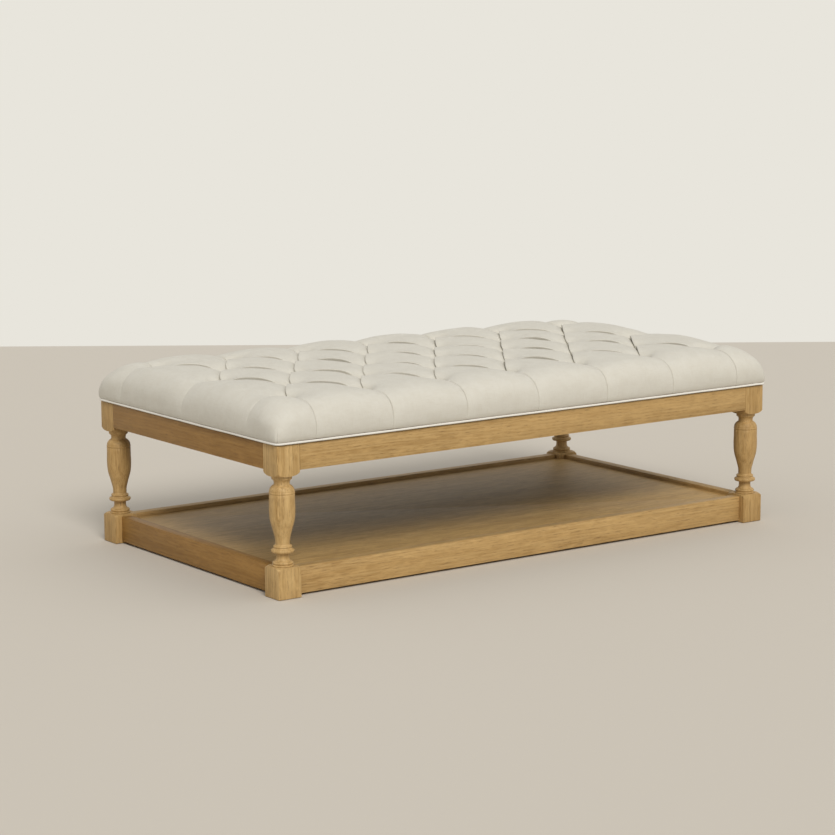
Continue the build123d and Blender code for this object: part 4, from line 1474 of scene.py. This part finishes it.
def add_lamps(stage):
    """The wide soft lamps in front and overhead."""
    for name, power, toward, breadth, colour in (
            ("key_lamp", stage.key_strength, (-0.25, -0.70, 0.64), 24.0, WARM_WHITE),
            ("top_lamp", stage.top_strength, (0.35, -0.15, 0.95), 60.0, (1.0, 1.0, 0.99))):
        lamp = bpy.data.lights.new(name, "SUN")
        lamp.angle = math.radians(breadth)
        lamp.energy = power
        lamp.color = colour
        holder = add_object(name, lamp)
        holder.location = Vector(toward) * 4
        holder.rotation_euler = (-Vector(toward)).to_track_quat("-Z", "Y").to_euler()


def add_camera(stage):
    """The photo's camera."""
    heading, dip, roll = stage.camera_heading, stage.camera_dip, stage.camera_roll
    view = Vector((-math.sin(heading) * math.cos(dip), math.cos(heading) * math.cos(dip),
                   -math.sin(dip)))
    right = Vector((math.cos(heading), math.sin(heading), 0.0))
    up = right.cross(view)
    turned_right = right * math.cos(roll) + up * math.sin(roll)
    turned_up = up * math.cos(roll) - right * math.sin(roll)
    camera_data = bpy.data.cameras.new("photo_camera")
    camera_data.sensor_fit = "HORIZONTAL"
    camera_data.sensor_width = 36.0
    camera_data.lens = stage.lens
    camera_data.clip_end = 200.0
    camera = add_object("photo_camera", camera_data)
    axes = Matrix((turned_right, turned_up, -view)).transposed().to_4x4()
    camera.matrix_world = Matrix.Translation(Vector(stage.camera_place)) @ axes
    bpy.context.scene.camera = camera


class OTTOMAN_OT_stage(bpy.types.Operator):
    """Sets the floor, backdrop, lamps and camera"""

    bl_idname = "ottoman.stage"
    bl_label = "Stage"

    def execute(self, context):
        stage = settings().stage
        context.scene.view_settings.view_transform = "Standard"
        add_floor(stage)
        add_world(stage)
        add_lamps(stage)
        add_camera(stage)
        return {"FINISHED"}


class OttomanSettings(bpy.types.PropertyGroup):
    """Everything a user would change"""

    cushion: PointerProperty(type=CushionSizes)
    cloth: PointerProperty(type=ClothFinish)
    timber: PointerProperty(type=TimberFinish)
    stage: PointerProperty(type=StageSettings)


STEPS = (OTTOMAN_OT_cushion, OTTOMAN_OT_buttons, OTTOMAN_OT_piping, OTTOMAN_OT_oak,
         OTTOMAN_OT_inner_timber, OTTOMAN_OT_fastenings, OTTOMAN_OT_inner_cloths,
         OTTOMAN_OT_dust_cover, OTTOMAN_OT_stage)


class OTTOMAN_PT_panel(bpy.types.Panel):
    """The steps that build the table"""

    bl_idname = "OTTOMAN_PT_panel"
    bl_label = "Ottoman Coffee Table"
    bl_space_type = "VIEW_3D"
    bl_region_type = "UI"
    bl_category = "Ottoman"

    def draw(self, context):
        for step in STEPS:
            self.layout.operator(step.bl_idname)


CLASSES = (CushionSizes, ClothFinish, TimberFinish, StageSettings, OttomanSettings,
           *STEPS, OTTOMAN_PT_panel)


def register():
    for part in CLASSES:
        bpy.utils.register_class(part)
    bpy.types.Scene.ottoman = PointerProperty(type=OttomanSettings)


def unregister():
    del bpy.types.Scene.ottoman
    for part in reversed(CLASSES):
        bpy.utils.unregister_class(part)


def main():
    register()
    bpy.ops.ottoman.cushion()
    bpy.ops.ottoman.buttons()
    bpy.ops.ottoman.piping()
    bpy.ops.ottoman.oak()
    bpy.ops.ottoman.inner_timber()
    bpy.ops.ottoman.fastenings()
    bpy.ops.ottoman.inner_cloths()
    bpy.ops.ottoman.dust_cover()
    bpy.ops.ottoman.stage()
    bpy.context.view_layer.update()


if __name__ == "__main__":
    main()
